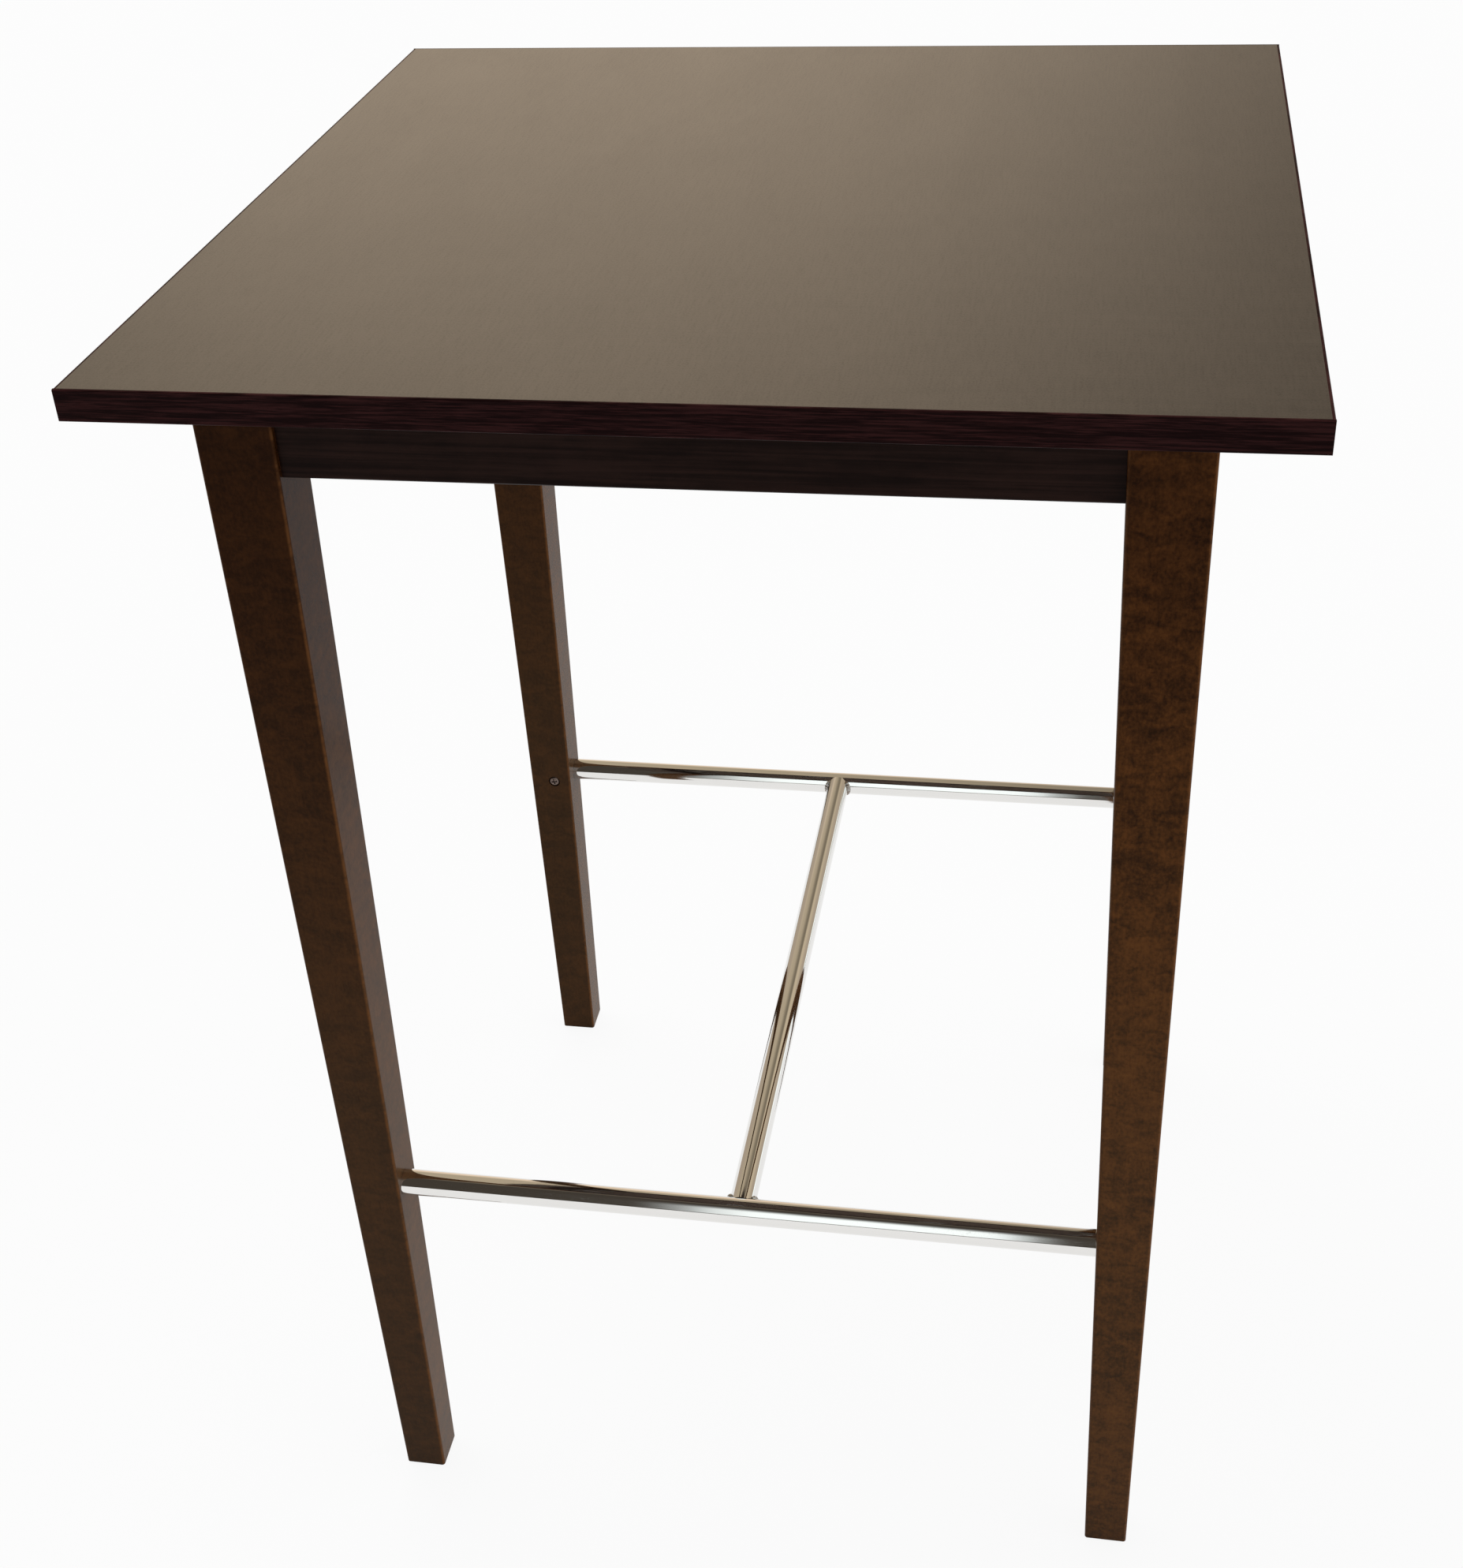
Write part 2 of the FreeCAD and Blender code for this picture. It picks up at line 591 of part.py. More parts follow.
def make_glide(corner):
    """A low round glide under a leg."""
    label = "foot_glide_" + CORNERS[corner]
    body = new_body(label)
    disc = sketch_on(body, label + "_disc")
    draw_circle(disc, "glide_diameter")
    pad(body, disc, "glide_thick")
    x, y = CORNER_SIGNS[corner]
    middle = "leg_corner - leg_foot_side / 2"
    place(body, f"{x} * ( {middle} )", f"{y} * ( {middle} )")


def check_document():
    """Stops with an error if any object failed or any sub-part has no valid shape."""
    doc.recompute()
    for thing in doc.Objects:
        if {"Invalid", "Error"} & set(thing.State):
            raise RuntimeError(f"{thing.Label} is {thing.State}")
    for part in subparts:
        if part.Shape.isNull() or not part.Shape.isValid() or not part.Shape.Solids:
            raise RuntimeError(f"{part.Label} has no valid solid")


def main():
    """Builds the table and writes one file for each sub-part."""
    make_sheet_layer("underside_backing", "backing_thick", "under_top")
    make_sheet_layer("top_core", "core_thick", "under_top + backing_thick")
    make_sheet_layer("top_laminate", "laminate_thick", "table_height - laminate_thick")
    for side in range(len(SIDES)):
        make_edge_band(side)
        make_apron(side)
    for corner in range(len(CORNERS)):
        make_leg(corner)
        make_corner_bracket(corner)
        make_glide(corner)
    make_bolt_sets()
    make_clips()
    make_cross_bar("footrest_front_bar", -1)
    make_cross_bar("footrest_back_bar", 1)
    make_centre_bar()
    make_welds()
    make_lock_screws()
    check_document()
    os.makedirs("parts", exist_ok=True)
    for part in subparts:
        part.Shape.exportStep(f"parts/{part.Label}.step")
        print(f"{part.Label}: {len(part.Shape.Solids)} solids in {part.Shape.BoundBox}")


main()
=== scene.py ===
import math

import bpy
from bpy.props import FloatProperty, FloatVectorProperty, IntProperty, PointerProperty
from mathutils import Matrix, Vector


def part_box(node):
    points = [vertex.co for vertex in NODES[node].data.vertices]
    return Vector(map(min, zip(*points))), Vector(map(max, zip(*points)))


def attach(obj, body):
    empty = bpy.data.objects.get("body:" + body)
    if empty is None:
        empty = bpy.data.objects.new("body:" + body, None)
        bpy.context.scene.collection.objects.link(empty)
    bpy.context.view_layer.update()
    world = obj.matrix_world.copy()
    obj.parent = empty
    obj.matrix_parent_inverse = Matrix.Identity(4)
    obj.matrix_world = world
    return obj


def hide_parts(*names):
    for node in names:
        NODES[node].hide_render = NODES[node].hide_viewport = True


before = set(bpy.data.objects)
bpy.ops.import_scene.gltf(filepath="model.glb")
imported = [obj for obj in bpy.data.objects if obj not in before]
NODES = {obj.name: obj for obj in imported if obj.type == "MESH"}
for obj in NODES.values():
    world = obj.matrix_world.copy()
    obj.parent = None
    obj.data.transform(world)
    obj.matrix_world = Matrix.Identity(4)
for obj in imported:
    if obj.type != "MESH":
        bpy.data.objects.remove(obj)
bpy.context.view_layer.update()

bl_info = {
    "name": "Pub table",
    "version": (1, 0, 0),
    "blender": (4, 5, 0),
    "location": "3D View > Sidebar > Pub table",
    "description": "Finishes, footrest, fasteners and stage of a bar-height table",
    "category": "Object",
}

BODY = "root"
CORNERS = {"front_left": (-1, -1), "front_right": (1, -1), "back_right": (1, 1), "back_left": (-1, 1)}
SIDES = ("front", "right", "back", "left")

# Sizes of the part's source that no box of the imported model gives, in metres
FOOT_SIDE = 0.0345
PLATE = 0.002
BOLT_PROUD = 0.0151
BOLT_ROOT = 0.012

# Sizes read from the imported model, in metres, and half the angle of a weld
LEG_LOW, LEG_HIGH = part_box("leg_front_right")
LEG_TAPER = (LEG_HIGH.x - LEG_LOW.x - FOOT_SIDE) / (LEG_HIGH.z - LEG_LOW.z)
BAR_LOW, BAR_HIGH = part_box("footrest_front_bar")
BAR_RADIUS = (BAR_HIGH.z - BAR_LOW.z) / 2
BAR_LEVEL = (BAR_HIGH.z + BAR_LOW.z) / 2
BAR_LINE = -(BAR_HIGH.y + BAR_LOW.y) / 2
APRON_INNER = -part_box("apron_front")[1].y
APRON_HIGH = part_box("apron_front")[1].z
BRACKET_LOW, BRACKET_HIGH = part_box("corner_bracket_front_right")
GLIDE_LOW, GLIDE_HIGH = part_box("foot_glide_front_right")
LOCK_LOW, LOCK_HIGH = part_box("footrest_lock_screws")
LOCK_TOP = min(abs(vertex.co.y) for vertex in NODES["footrest_lock_screws"].data.vertices)
BOLT_END = min((abs(vertex.co.x) + abs(vertex.co.y)) / 2 for vertex in NODES["hanger_bolts"].data.vertices)
WELD_HALF = math.asin((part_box("footrest_welds")[1].z - BAR_LEVEL) / BAR_RADIUS)

# Shanks of the screws as diameter and length, in metres
WOOD_SHANK = (0.004, 0.015)
LOCK_SHANK = (0.0042, 0.018)

# Steps along a weld's line, and how far the line lies outside the tube, in bead radii
SEAM_STEPS = 120
BEAD_LIFT = 0.35

# Edges sharper than this stay sharp in smooth shading
SHARP_ANGLE = math.radians(35)

# How much painted light from the floor pales the legs towards the feet
LEG_FLOOR_GLOW = 0.1

# Floor: half its side in metres, its tone in light, and how much of its white needs no light
FLOOR_REACH = 30.0
FLOOR_TONE = (0.6, 0.6, 0.6)
WHITE_SHARE = 0.92
WHITE = (1, 1, 1)

# Key light: its breadth and the way it shines
SUN_ANGLE = math.radians(70)
SUN_AIM = (0.45, -0.5, -1)

# How much brighter the ceiling is far right than on the left
RIGHT_CEILING = 1.25


def colour(name, description, default):
    """A colour that a user may change."""
    return FloatVectorProperty(name=name, description=description, subtype="COLOR", size=3, min=0, max=1,
                               default=default)


def length(name, description, default):
    """A length that a user may change."""
    return FloatProperty(name=name, description=description, unit="LENGTH", min=0, precision=5,
                         default=default)


def angle(name, description, default):
    """An angle that a user may change."""
    return FloatProperty(name=name, description=description, subtype="ANGLE", default=default)


def share(name, description, default):
    """A share from nothing to all that a user may change."""
    return FloatProperty(name=name, description=description, subtype="FACTOR", min=0, max=1, default=default)


def strength(name, description, default):
    """A strength of light that a user may change."""
    return FloatProperty(name=name, description=description, min=0, default=default)


class TopSettings(bpy.types.PropertyGroup):
    """Finish of the table top."""

    laminate_dark: colour("Laminate", "Ground of the top's laminate", (0.011, 0.0069, 0.0048))
    laminate_light: colour("Laminate fleck", "Lighter flecks of the top's laminate", (0.03, 0.0212, 0.015))
    laminate_sheen: share("Laminate roughness", "Roughness of the satin laminate", 0.34)
    band_dark: colour("Edge band", "Ground of the edge band", (0.009, 0.0025, 0.0026))
    band_light: colour("Edge band grain", "Lighter grain lines of the edge band", (0.046, 0.0145, 0.0142))
    backing: colour("Underside", "Balancing sheet under the top", (0.052, 0.031, 0.02))


class WoodSettings(bpy.types.PropertyGroup):
    """Finish of the legs and aprons."""

    leg_dark: colour("Leg stain", "Dark stain of the legs", (0.02, 0.0066, 0.0022))
    leg_light: colour("Leg figure", "Lighter figure in the legs' stain", (0.155, 0.054, 0.0125))
    # Painted light: the legs are drawn paler towards the feet, standing for light from the floor
    leg_floor_glow: colour("Leg fading", "Stain faded towards the feet", (0.31, 0.21, 0.115))
    # Partly real wear, partly painted highlight: colour of the legs' edges, where stain is rubbed thin and
    # the rounded edges catch light
    leg_arris_wear_and_highlight: colour("Leg arris", "Stain rubbed thin along the legs' edges", (0.125, 0.05, 0.016))
    # Painted shade: the two left legs are drawn darker, standing for less light falling on them
    left_leg_shade: share("Darker boards", "How much darker the two left legs' boards took the stain", 0.62)
    leg_sheen: share("Leg roughness", "Roughness of the legs' finish", 0.24)
    apron_dark: colour("Apron stain", "Dark stain of the aprons", (0.0085, 0.0036, 0.0026))
    apron_light: colour("Apron grain", "Lighter grain of the aprons", (0.027, 0.0125, 0.0095))
    apron_sheen: share("Apron roughness", "Roughness of the aprons' finish", 0.33)


class FootrestSettings(bpy.types.PropertyGroup):
    """Chrome and welds of the footrest."""

    chrome: colour("Chrome", "Reflected colour of the chrome plate", (0.8, 0.79, 0.77))
    chrome_sheen: share("Chrome roughness", "Roughness of the polished chrome", 0.035)
    bead_radius: length("Bead radius", "Radius of a weld bead", 0.0021)
    bead_ripple: share("Ripple", "Depth of the ripples in a weld bead", 0.2)
    bead_count: IntProperty(name="Ripples", description="Ripples along one weld", min=2, default=8)


class FastenerSettings(bpy.types.PropertyGroup):
    """Screws, bolts, nuts and glides."""

    bronze: colour("Bronzed steel", "Lock screws of the footrest", (0.2, 0.15, 0.13))
    zinc: colour("Zinc plate", "Brackets, clips, bolts and their screws", (0.56, 0.56, 0.53))
    nylon: colour("Glides", "Nylon of the foot glides", (0.03, 0.022, 0.018))
    lock_head: length("Lock screw head", "Diameter of the lock screw's head", LOCK_HIGH.z - LOCK_LOW.z)
    lock_head_height: length("Lock screw head height", "Height of the lock screw's head", 0.0026)
    wood_head: length("Wood screw head", "Diameter of the bracket and clip screws' heads", 0.008)
    wood_head_height: length("Wood screw head height", "Height of the bracket and clip screws' heads", 0.0024)
    bracket_pitch: length("Bracket screws", "Between the two screws of a bracket's flange", 0.022)
    bracket_end: length("Bracket screw from end", "Bracket's end to its screws", 0.014)
    bolt_size: length("Bolt", "Diameter of the hanger bolts", 0.008)
    bolt_pitch: length("Bolt pitch", "Pitch of the hanger bolts' thread", 0.00125)
    nut_across: length("Nut", "Hanger nuts across their flats", 0.013)
    nut_height: length("Nut height", "Height of a hanger nut without its rim", 0.0065)
    rim_size: length("Nut rim", "Diameter of a hanger nut's rim", 0.018)
    rim_height: length("Nut rim height", "Thickness of a hanger nut's rim", 0.0016)
    glide_bevel: length("Glide edge", "Rounding of the glides' edges", 0.0007)
    nail_size: length("Glide nail", "Diameter of the nail's head in a glide", 0.006)
    clip_place: length("Clips", "Clips from the middle of an apron", 0.11)
    clip_screw: length("Clip screws", "Clip's back to its screws", 0.013)
    seed: IntProperty(name="Seed", description="Turns the screws' crosses at random", default=7)


class StageSettings(bpy.types.PropertyGroup):
    """Camera, light and surroundings."""

    eye: FloatVectorProperty(name="Camera", description="Place of the camera", subtype="TRANSLATION", size=3,
                             default=(0.25449, -1.46847, 1.55107))
    heading: angle("Heading", "Camera's turn from straight ahead, to the right", -0.20411)
    dip: angle("Dip", "Camera's look below the horizon", 0.59239)
    tilt: angle("Tilt", "Camera's roll, clockwise", 0.0602)
    lens: FloatProperty(name="Lens", description="Focal length in millimetres", subtype="DISTANCE_CAMERA",
                        default=48.356)
    gloss_room: share("Room in gloss", "How much gloss shows a room in place of white surroundings", 1.0)
    room_lit: colour("Lit wall", "Bright wall that gloss shows behind, left of the middle", (1.0, 0.8, 0.6))
    room_glow: strength("Wall light", "How brightly that wall is lit", 0.93)
    room_wall: colour("Walls", "Warm walls that gloss shows behind", (0.46, 0.375, 0.285))
    room_shade: colour("Shaded wall", "Dark wall that gloss shows behind, right of the middle",
                       (0.16, 0.125, 0.095))
    ceiling: colour("Ceiling", "Warm ceiling that gloss shows above the walls", (0.5, 0.412, 0.29))
    ceiling_dim: share("Dim ceiling", "How much dimmer the ceiling is right of the middle", 0.55)
    room_front: colour("Room in front", "Dim room that gloss shows on the camera's side", (0.06, 0.05, 0.04))
    window: colour("Window", "Pale window that gloss shows in front and right", (0.94, 1.0, 1.0))
    window_glow: strength("Window light", "How bright the window is", 1.3)
    fill: strength("Fill", "Soft light from behind", 0.65)
    fill_front: strength("Front fill", "Soft light from the front", 0.1)
    fill_right: strength("Side fill", "Soft light from the right", 3.4)
    sun: strength("Key", "Soft light from above, behind and left", 2.2)


class Wire:
    """One socket of a node tree. Arithmetic with it adds Math nodes."""

    def __init__(self, graph, socket):
        self.graph = graph
        self.socket = socket

    def __add__(self, other):
        return self.graph.math("ADD", self, other)

    def __sub__(self, other):
        return self.graph.math("SUBTRACT", self, other)

    def __rsub__(self, other):
        return self.graph.math("SUBTRACT", other, self)

    def __mul__(self, other):
        return self.graph.math("MULTIPLY", self, other)

    def __truediv__(self, other):
        return self.graph.math("DIVIDE", self, other)

    def __pow__(self, other):
        return self.graph.math("POWER", self, other)

    def __abs__(self):
        return self.graph.math("ABSOLUTE", self)

    __radd__ = __add__
    __rmul__ = __mul__

    def output(self, key):
        """Another output of the same node."""
        return Wire(self.graph, self.socket.node.outputs[key])


class Graph:
    """A node tree that is filled by short calls."""

    def __init__(self, tree):
        self.tree = tree
        tree.nodes.clear()

    def node(self, kind, settings=None, sockets=None):
        """Adds a node, sets its settings, then feeds its sockets, and gives its first live output."""
        made = self.tree.nodes.new(kind)
        for name, value in (settings or {}).items():
            setattr(made, name, value)
        for key, value in (sockets or {}).items():
            for item in value if isinstance(value, list) else [value]:
                self.feed(made.inputs[key], item)
        live = [socket for socket in made.outputs if socket.enabled]
        return Wire(self, live[0]) if live else None

    def feed(self, socket, value):
        """Links or sets one input socket."""
        if isinstance(value, Wire):
            self.tree.links.new(value.socket, socket)
        elif socket.type == "RGBA" and len(value) == 3:
            socket.default_value = (*value, 1)
        else:
            socket.default_value = value

    def math(self, operation, *values):
        """A Math node on numbers and wires."""
        return self.node("ShaderNodeMath", {"operation": operation}, dict(enumerate(values)))

    def vector(self, x, y, z):
        """A vector from three numbers or wires."""
        return self.node("ShaderNodeCombineXYZ", None, {"X": x, "Y": y, "Z": z})

    def split(self, vector):
        """The three values of a vector."""
        parts = self.node("ShaderNodeSeparateXYZ", None, {"Vector": vector})
        return parts, parts.output("Y"), parts.output("Z")

    def blend(self, factor, first, second):
        """A colour between two colours."""
        return self.node("ShaderNodeMix", {"data_type": "RGBA"}, {0: factor, 6: first, 7: second})

    def rise(self, value, low, high):
        """A smooth rise from nothing at one value to all at another."""
        settings = {"interpolation_type": "SMOOTHSTEP", "clamp": True}
        return self.node("ShaderNodeMapRange", settings, {"Value": value, "From Min": low, "From Max": high})

    def span(self, value, start, full, wane, end):
        """A smooth rise between two values and a smooth fall between two later ones."""
        return self.rise(value, start, full) * (1 - self.rise(value, wane, end))

    def moved(self, geometry, x, y, z):
        """A mesh with each of its points put in a new place."""
        return self.node("GeometryNodeSetPosition", None,
                         {"Geometry": geometry, "Position": self.vector(x, y, z)})


class Finish(Graph):
    """A material with one shader, on the object's own coordinates."""

    def __init__(self, name, **constants):
        self.material = bpy.data.materials.new(name)
        self.material.use_nodes = True
        super().__init__(self.material.node_tree)
        shader = self.node("ShaderNodeBsdfPrincipled")
        self.sockets = shader.socket.node.inputs
        self.node("ShaderNodeOutputMaterial", None, {"Surface": shader})
        self.place = self.node("ShaderNodeTexCoord").output("Object")
        self.x, self.y, self.z = self.split(self.place)
        for key, value in constants.items():
            self.feed(self.sockets[key.replace("_", " ")], value)

    def noise(self, scale, detail=2.0, roughness=0.5, distortion=0.0, vector=None):
        """Noise stretched by three scales, on the object's coordinates or on another vector."""
        stretched = self.node("ShaderNodeMapping", None, {"Vector": vector or self.place, "Scale": scale})
        return self.node("ShaderNodeTexNoise", None, {"Vector": stretched, "Scale": 1.0, "Detail": detail,
                                                      "Roughness": roughness, "Distortion": distortion})

    def paint(self, base, roughness, height, depth):
        """Feeds the shader: colour, roughness and a bump of a height field that is so deep."""
        self.feed(self.sockets["Base Color"], base)
        self.feed(self.sockets["Roughness"], roughness)
        bump = self.node("ShaderNodeBump", None, {"Height": height, "Distance": depth, "Strength": 1.0})
        self.feed(self.sockets["Normal"], bump)
        return self.material

    def along_side(self):
        """Coordinates that run along a piece on any of the four sides: along, across and up."""
        front = self.math("GREATER_THAN", abs(self.y), abs(self.x))
        along = self.y + (self.x - self.y) * front
        across = self.x + (self.y - self.x) * front
        return self.vector(along, across, self.z)


def shaded(tone, factor):
    """A colour made darker or lighter."""
    return tuple(channel * factor for channel in tone)


def laminate_finish(top):
    """Satin dark laminate with fine grain lines, a faint cross weave and wiped patches."""
    finish = Finish("laminate_top", IOR=1.5, Coat_IOR=1.5, Coat_Roughness=top.laminate_sheen)
    lines = finish.noise((9.0, 420.0, 1.0), 3.0, 0.6, 0.3)
    weave = finish.noise((560.0, 40.0, 1.0), 2.0, 0.5)
    speck = finish.noise((760.0, 760.0, 1.0), 2.0, 0.6)
    cloud = finish.noise((6.0, 9.0, 1.0), 4.0, 0.55, 0.6)
    fleck = finish.rise(lines * 0.4 + weave * 0.2 + speck * 0.25 + cloud * 0.15, 0.38, 0.62)
    base = finish.blend(fleck, top.laminate_dark, top.laminate_light)
    wiped = finish.noise((11.0, 3.0, 1.0), 5.0, 0.6, 1.4)
    roughness = top.laminate_sheen + 0.07 * (lines - 0.5) + 0.1 * (wiped - 0.5)
    gloss = 0.98 + 1.1 * (speck - 0.5) + 0.35 * (weave - 0.5)
    finish.feed(finish.sockets["Coat Weight"], finish.math("MINIMUM", gloss, 1.0))
    return finish.paint(base, roughness, lines * 0.4 + weave * 0.25 + speck * 0.35, 0.00006)


def band_finish(top):
    """Dark wood-grain edge band whose grain lines run along it, scuffed at its rounded edges."""
    finish = Finish("edge_band_grain", IOR=1.1)
    side = finish.along_side()
    lines = finish.noise((30.0, 60.0, 860.0), 3.0, 0.66, 0.2, side)
    pores = finish.noise((90.0, 60.0, 1700.0), 2.0, 0.5, 0.0, side)
    cloud = finish.noise((16.0, 16.0, 40.0), 3.0, 0.5, 0.0, side)
    grain = finish.rise(lines * 0.88 + cloud * 0.12, 0.4, 0.66)
    plain = finish.blend(grain * 0.85, top.band_dark, top.band_light)
    low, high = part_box("edge_band_front")
    middle = (low.z + high.z) / 2
    half = (high.z - low.z) / 2
    edge = finish.rise(abs(finish.z - middle), half - 0.0009, half - 0.0001)
    scuff = edge * finish.rise(cloud, 0.45, 0.7) * 0.5
    base = finish.blend(scuff, plain, top.band_light)
    roughness = 0.4 + 0.12 * (lines - 0.5) - 0.08 * edge
    return finish.paint(base, roughness, lines * 0.6 + pores * 0.4, 0.00009)


def core_finish():
    """Raw particle board: pale chips in darker glue."""
    finish = Finish("particle_board", IOR=1.45)
    chips = finish.node("ShaderNodeTexVoronoi", None,
                        {"Vector": finish.place, "Scale": 260.0, "Randomness": 1.0})
    tone = finish.split(chips.output("Color"))[0]
    base = finish.blend(tone, (0.3, 0.2, 0.11), (0.62, 0.47, 0.29))
    return finish.paint(base, 0.75 + 0.15 * tone, chips, 0.0004)


def backing_finish(top):
    """Plain brown balancing sheet with the mottle of resin paper."""
    finish = Finish("balancing_sheet", IOR=1.45)
    mottle = finish.noise((34.0, 34.0, 34.0), 5.0, 0.65)
    fibre = finish.noise((300.0, 900.0, 300.0), 3.0, 0.6, 0.8)
    light = shaded(top.backing, 1.7)
    base = finish.blend(finish.rise(mottle * 0.6 + fibre * 0.4, 0.3, 0.7), top.backing, light)
    return finish.paint(base, 0.55 + 0.12 * (fibre - 0.5), fibre, 0.00005)


def leg_finish(wood):
    """Matt dark stain on close-grained wood, mottled, with painted shade on the two left legs and towards the
    tops, painted light from the floor towards the feet, and lighter edges where stain is rubbed thin and
    partly a painted highlight.
    """
    finish = Finish("leg_stain", IOR=1.1)
    streak = finish.noise((190.0, 190.0, 9.0), 3.0, 0.6, 0.25)
    mottle = finish.noise((52.0, 52.0, 96.0), 5.0, 0.64, 0.6)
    cloud = finish.noise((15.0, 15.0, 8.0), 3.0, 0.5, 0.4)
    pores = finish.noise((900.0, 900.0, 60.0), 2.0, 0.5)
    fine = finish.noise((430.0, 430.0, 300.0), 3.0, 0.62)
    figure = finish.rise(mottle * 0.42 + cloud * 0.16 + streak * 0.1 + fine * 0.32, 0.32, 0.7)
    # Painted shade: the legs are drawn darker towards their tops, where the table top and aprons shade them
    shade_under_top = 1.03 - 0.4 * finish.rise(finish.z, 0.7, 1.02)
    # Painted shade: legs at negative x are drawn darker, standing for less light falling on them
    board = 1 - wood.left_leg_shade * (1 - finish.rise(finish.x, -0.05, 0.05))
    stain = finish.blend(figure * board * shade_under_top, wood.leg_dark, wood.leg_light)
    # Painted light: paler towards the feet, standing for light reflected from the floor
    floor_glow = LEG_FLOOR_GLOW * (1 - finish.rise(finish.z, 0.3, 1.0))
    lit_from_floor = finish.blend(floor_glow, stain, wood.leg_floor_glow)
    speckled = finish.blend(finish.rise(pores, 0.6, 0.75) * 0.25, lit_from_floor, wood.leg_dark)
    outer = LEG_HIGH.x
    inner = outer - FOOT_SIDE - LEG_TAPER * (finish.z - LEG_LOW.z)
    depth_x = finish.math("MINIMUM", outer - abs(finish.x), abs(finish.x) - inner)
    depth_y = finish.math("MINIMUM", outer - abs(finish.y), abs(finish.y) - inner)
    from_arris = finish.math("MAXIMUM", depth_x, depth_y)
    # Lighter along the edges: stain rubbed thin, and partly a painted highlight where the rounded edges catch
    # light
    rubbed = (1 - finish.rise(from_arris, 0.0008, 0.0022)) * (0.25 + 0.75 * finish.rise(mottle, 0.3, 0.6))
    base = finish.blend(rubbed * 0.8, speckled, wood.leg_arris_wear_and_highlight)
    roughness = wood.leg_sheen + 0.1 * (mottle - 0.5) + 0.06 * rubbed
    return finish.paint(base, roughness, streak * 0.5 + pores * 0.5, 0.00004)


def apron_finish(wood):
    """Near-black matt stain with fine grain along each apron."""
    finish = Finish("apron_stain", IOR=1.12)
    side = finish.along_side()
    grain = finish.noise((6.0, 150.0, 260.0), 4.0, 0.6, 0.4, side)
    mottle = finish.noise((24.0, 40.0, 50.0), 4.0, 0.6, 0.0, side)
    figure = finish.rise(grain * 0.65 + mottle * 0.35, 0.36, 0.68)
    base = finish.blend(figure, wood.apron_dark, wood.apron_light)
    roughness = wood.apron_sheen + 0.1 * (mottle - 0.5)
    return finish.paint(base, roughness, grain, 0.00005)


def chrome_finish(footrest):
    """Polished chrome plate, faintly wavy, with fine scuffs on top where shoes rest."""
    finish = Finish("chrome_plate", Metallic=1.0)
    wave = finish.noise((22.0, 22.0, 22.0), 1.0, 0.5)
    haze = finish.noise((14.0, 14.0, 60.0), 5.0, 0.65, 0.5)
    scratch = finish.noise((900.0, 900.0, 90.0), 2.0, 0.6, 0.6)
    top_side = finish.rise(finish.z, BAR_LEVEL + 0.15 * BAR_RADIUS, BAR_LEVEL + 0.95 * BAR_RADIUS)
    scuff = top_side * finish.rise(haze, 0.48, 0.72) * finish.rise(scratch, 0.5, 0.72)
    dull = shaded(footrest.chrome, 0.82)
    base = finish.blend(scuff * 0.6, footrest.chrome, dull)
    roughness = footrest.chrome_sheen + 0.04 * haze + 0.1 * scuff
    return finish.paint(base, roughness, wave, 0.00005)


def weld_finish(footrest):
    """Plated weld metal: duller than the tube, with heat tint in random patches."""
    finish = Finish("weld_metal", Metallic=1.0)
    grit = finish.noise((700.0, 700.0, 700.0), 3.0, 0.6)
    tint = finish.rise(finish.noise((160.0, 160.0, 160.0), 3.0, 0.6), 0.35, 0.65)
    dull = shaded(footrest.chrome, 0.75)
    base = finish.blend(tint, (0.3, 0.25, 0.21), dull)
    return finish.paint(base, 0.3 + 0.2 * grit, grit, 0.0001)


def steel_finish(name, metal, shade, rough):
    """Plated steel with a fine mottle and handling marks."""
    finish = Finish(name, Metallic=1.0)
    spangle = finish.noise((240.0, 240.0, 240.0), 3.0, 0.6, 0.5)
    marks = finish.noise((60.0, 420.0, 130.0), 4.0, 0.65)
    dark = shaded(metal, shade)
    base = finish.blend(finish.rise(spangle * 0.6 + marks * 0.4, 0.35, 0.65), dark, metal)
    return finish.paint(base, rough + 0.2 * (marks - 0.5), spangle, 0.00008)


def nylon_finish(fasteners):
    """Moulded nylon, scuffed pale on the face that slides."""
    finish = Finish("glide_nylon", IOR=1.53)
    grain = finish.noise((700.0, 700.0, 700.0), 3.0, 0.6)
    drag = finish.noise((300.0, 1400.0, 300.0), 3.0, 0.6)
    sole = 1 - finish.rise(finish.z, 0.0002, 0.0009)
    pale = shaded(fasteners.nylon, 4)
    base = finish.blend(sole * finish.rise(drag, 0.45, 0.7), fasteners.nylon, pale)
    return finish.paint(base, 0.45 + 0.25 * sole * drag, grain, 0.00005)


def dress(nodes, material):
    """Gives CAD nodes a finish."""
    for name in nodes:
        for slot in NODES[name].material_slots:
            slot.material = material


def add_object(name, data):
    """Adds an object to the scene."""
    added = bpy.data.objects.new(name, data)
    bpy.context.scene.collection.objects.link(added)
    return added


def add_piece(name, mesh, replaced=()):
    """Adds a finished mesh as a piece of the table, in the place of CAD nodes where it has any."""
    piece = add_object(name, mesh)
    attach(piece, BODY)
    if replaced:
        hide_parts(*replaced)
    return piece


def plain_mesh(carrier):
    """Turns an object with a Geometry Nodes modifier into a plain mesh and removes the object."""
    graph = bpy.context.evaluated_depsgraph_get()
    mesh = bpy.data.meshes.new_from_object(carrier.evaluated_get(graph), preserve_all_data_layers=True,
                                           depsgraph=graph)
    carrier.modifiers.clear()
    bpy.data.objects.remove(carrier)
    if not mesh.polygons:
        raise RuntimeError("the tree made no faces")
    return mesh


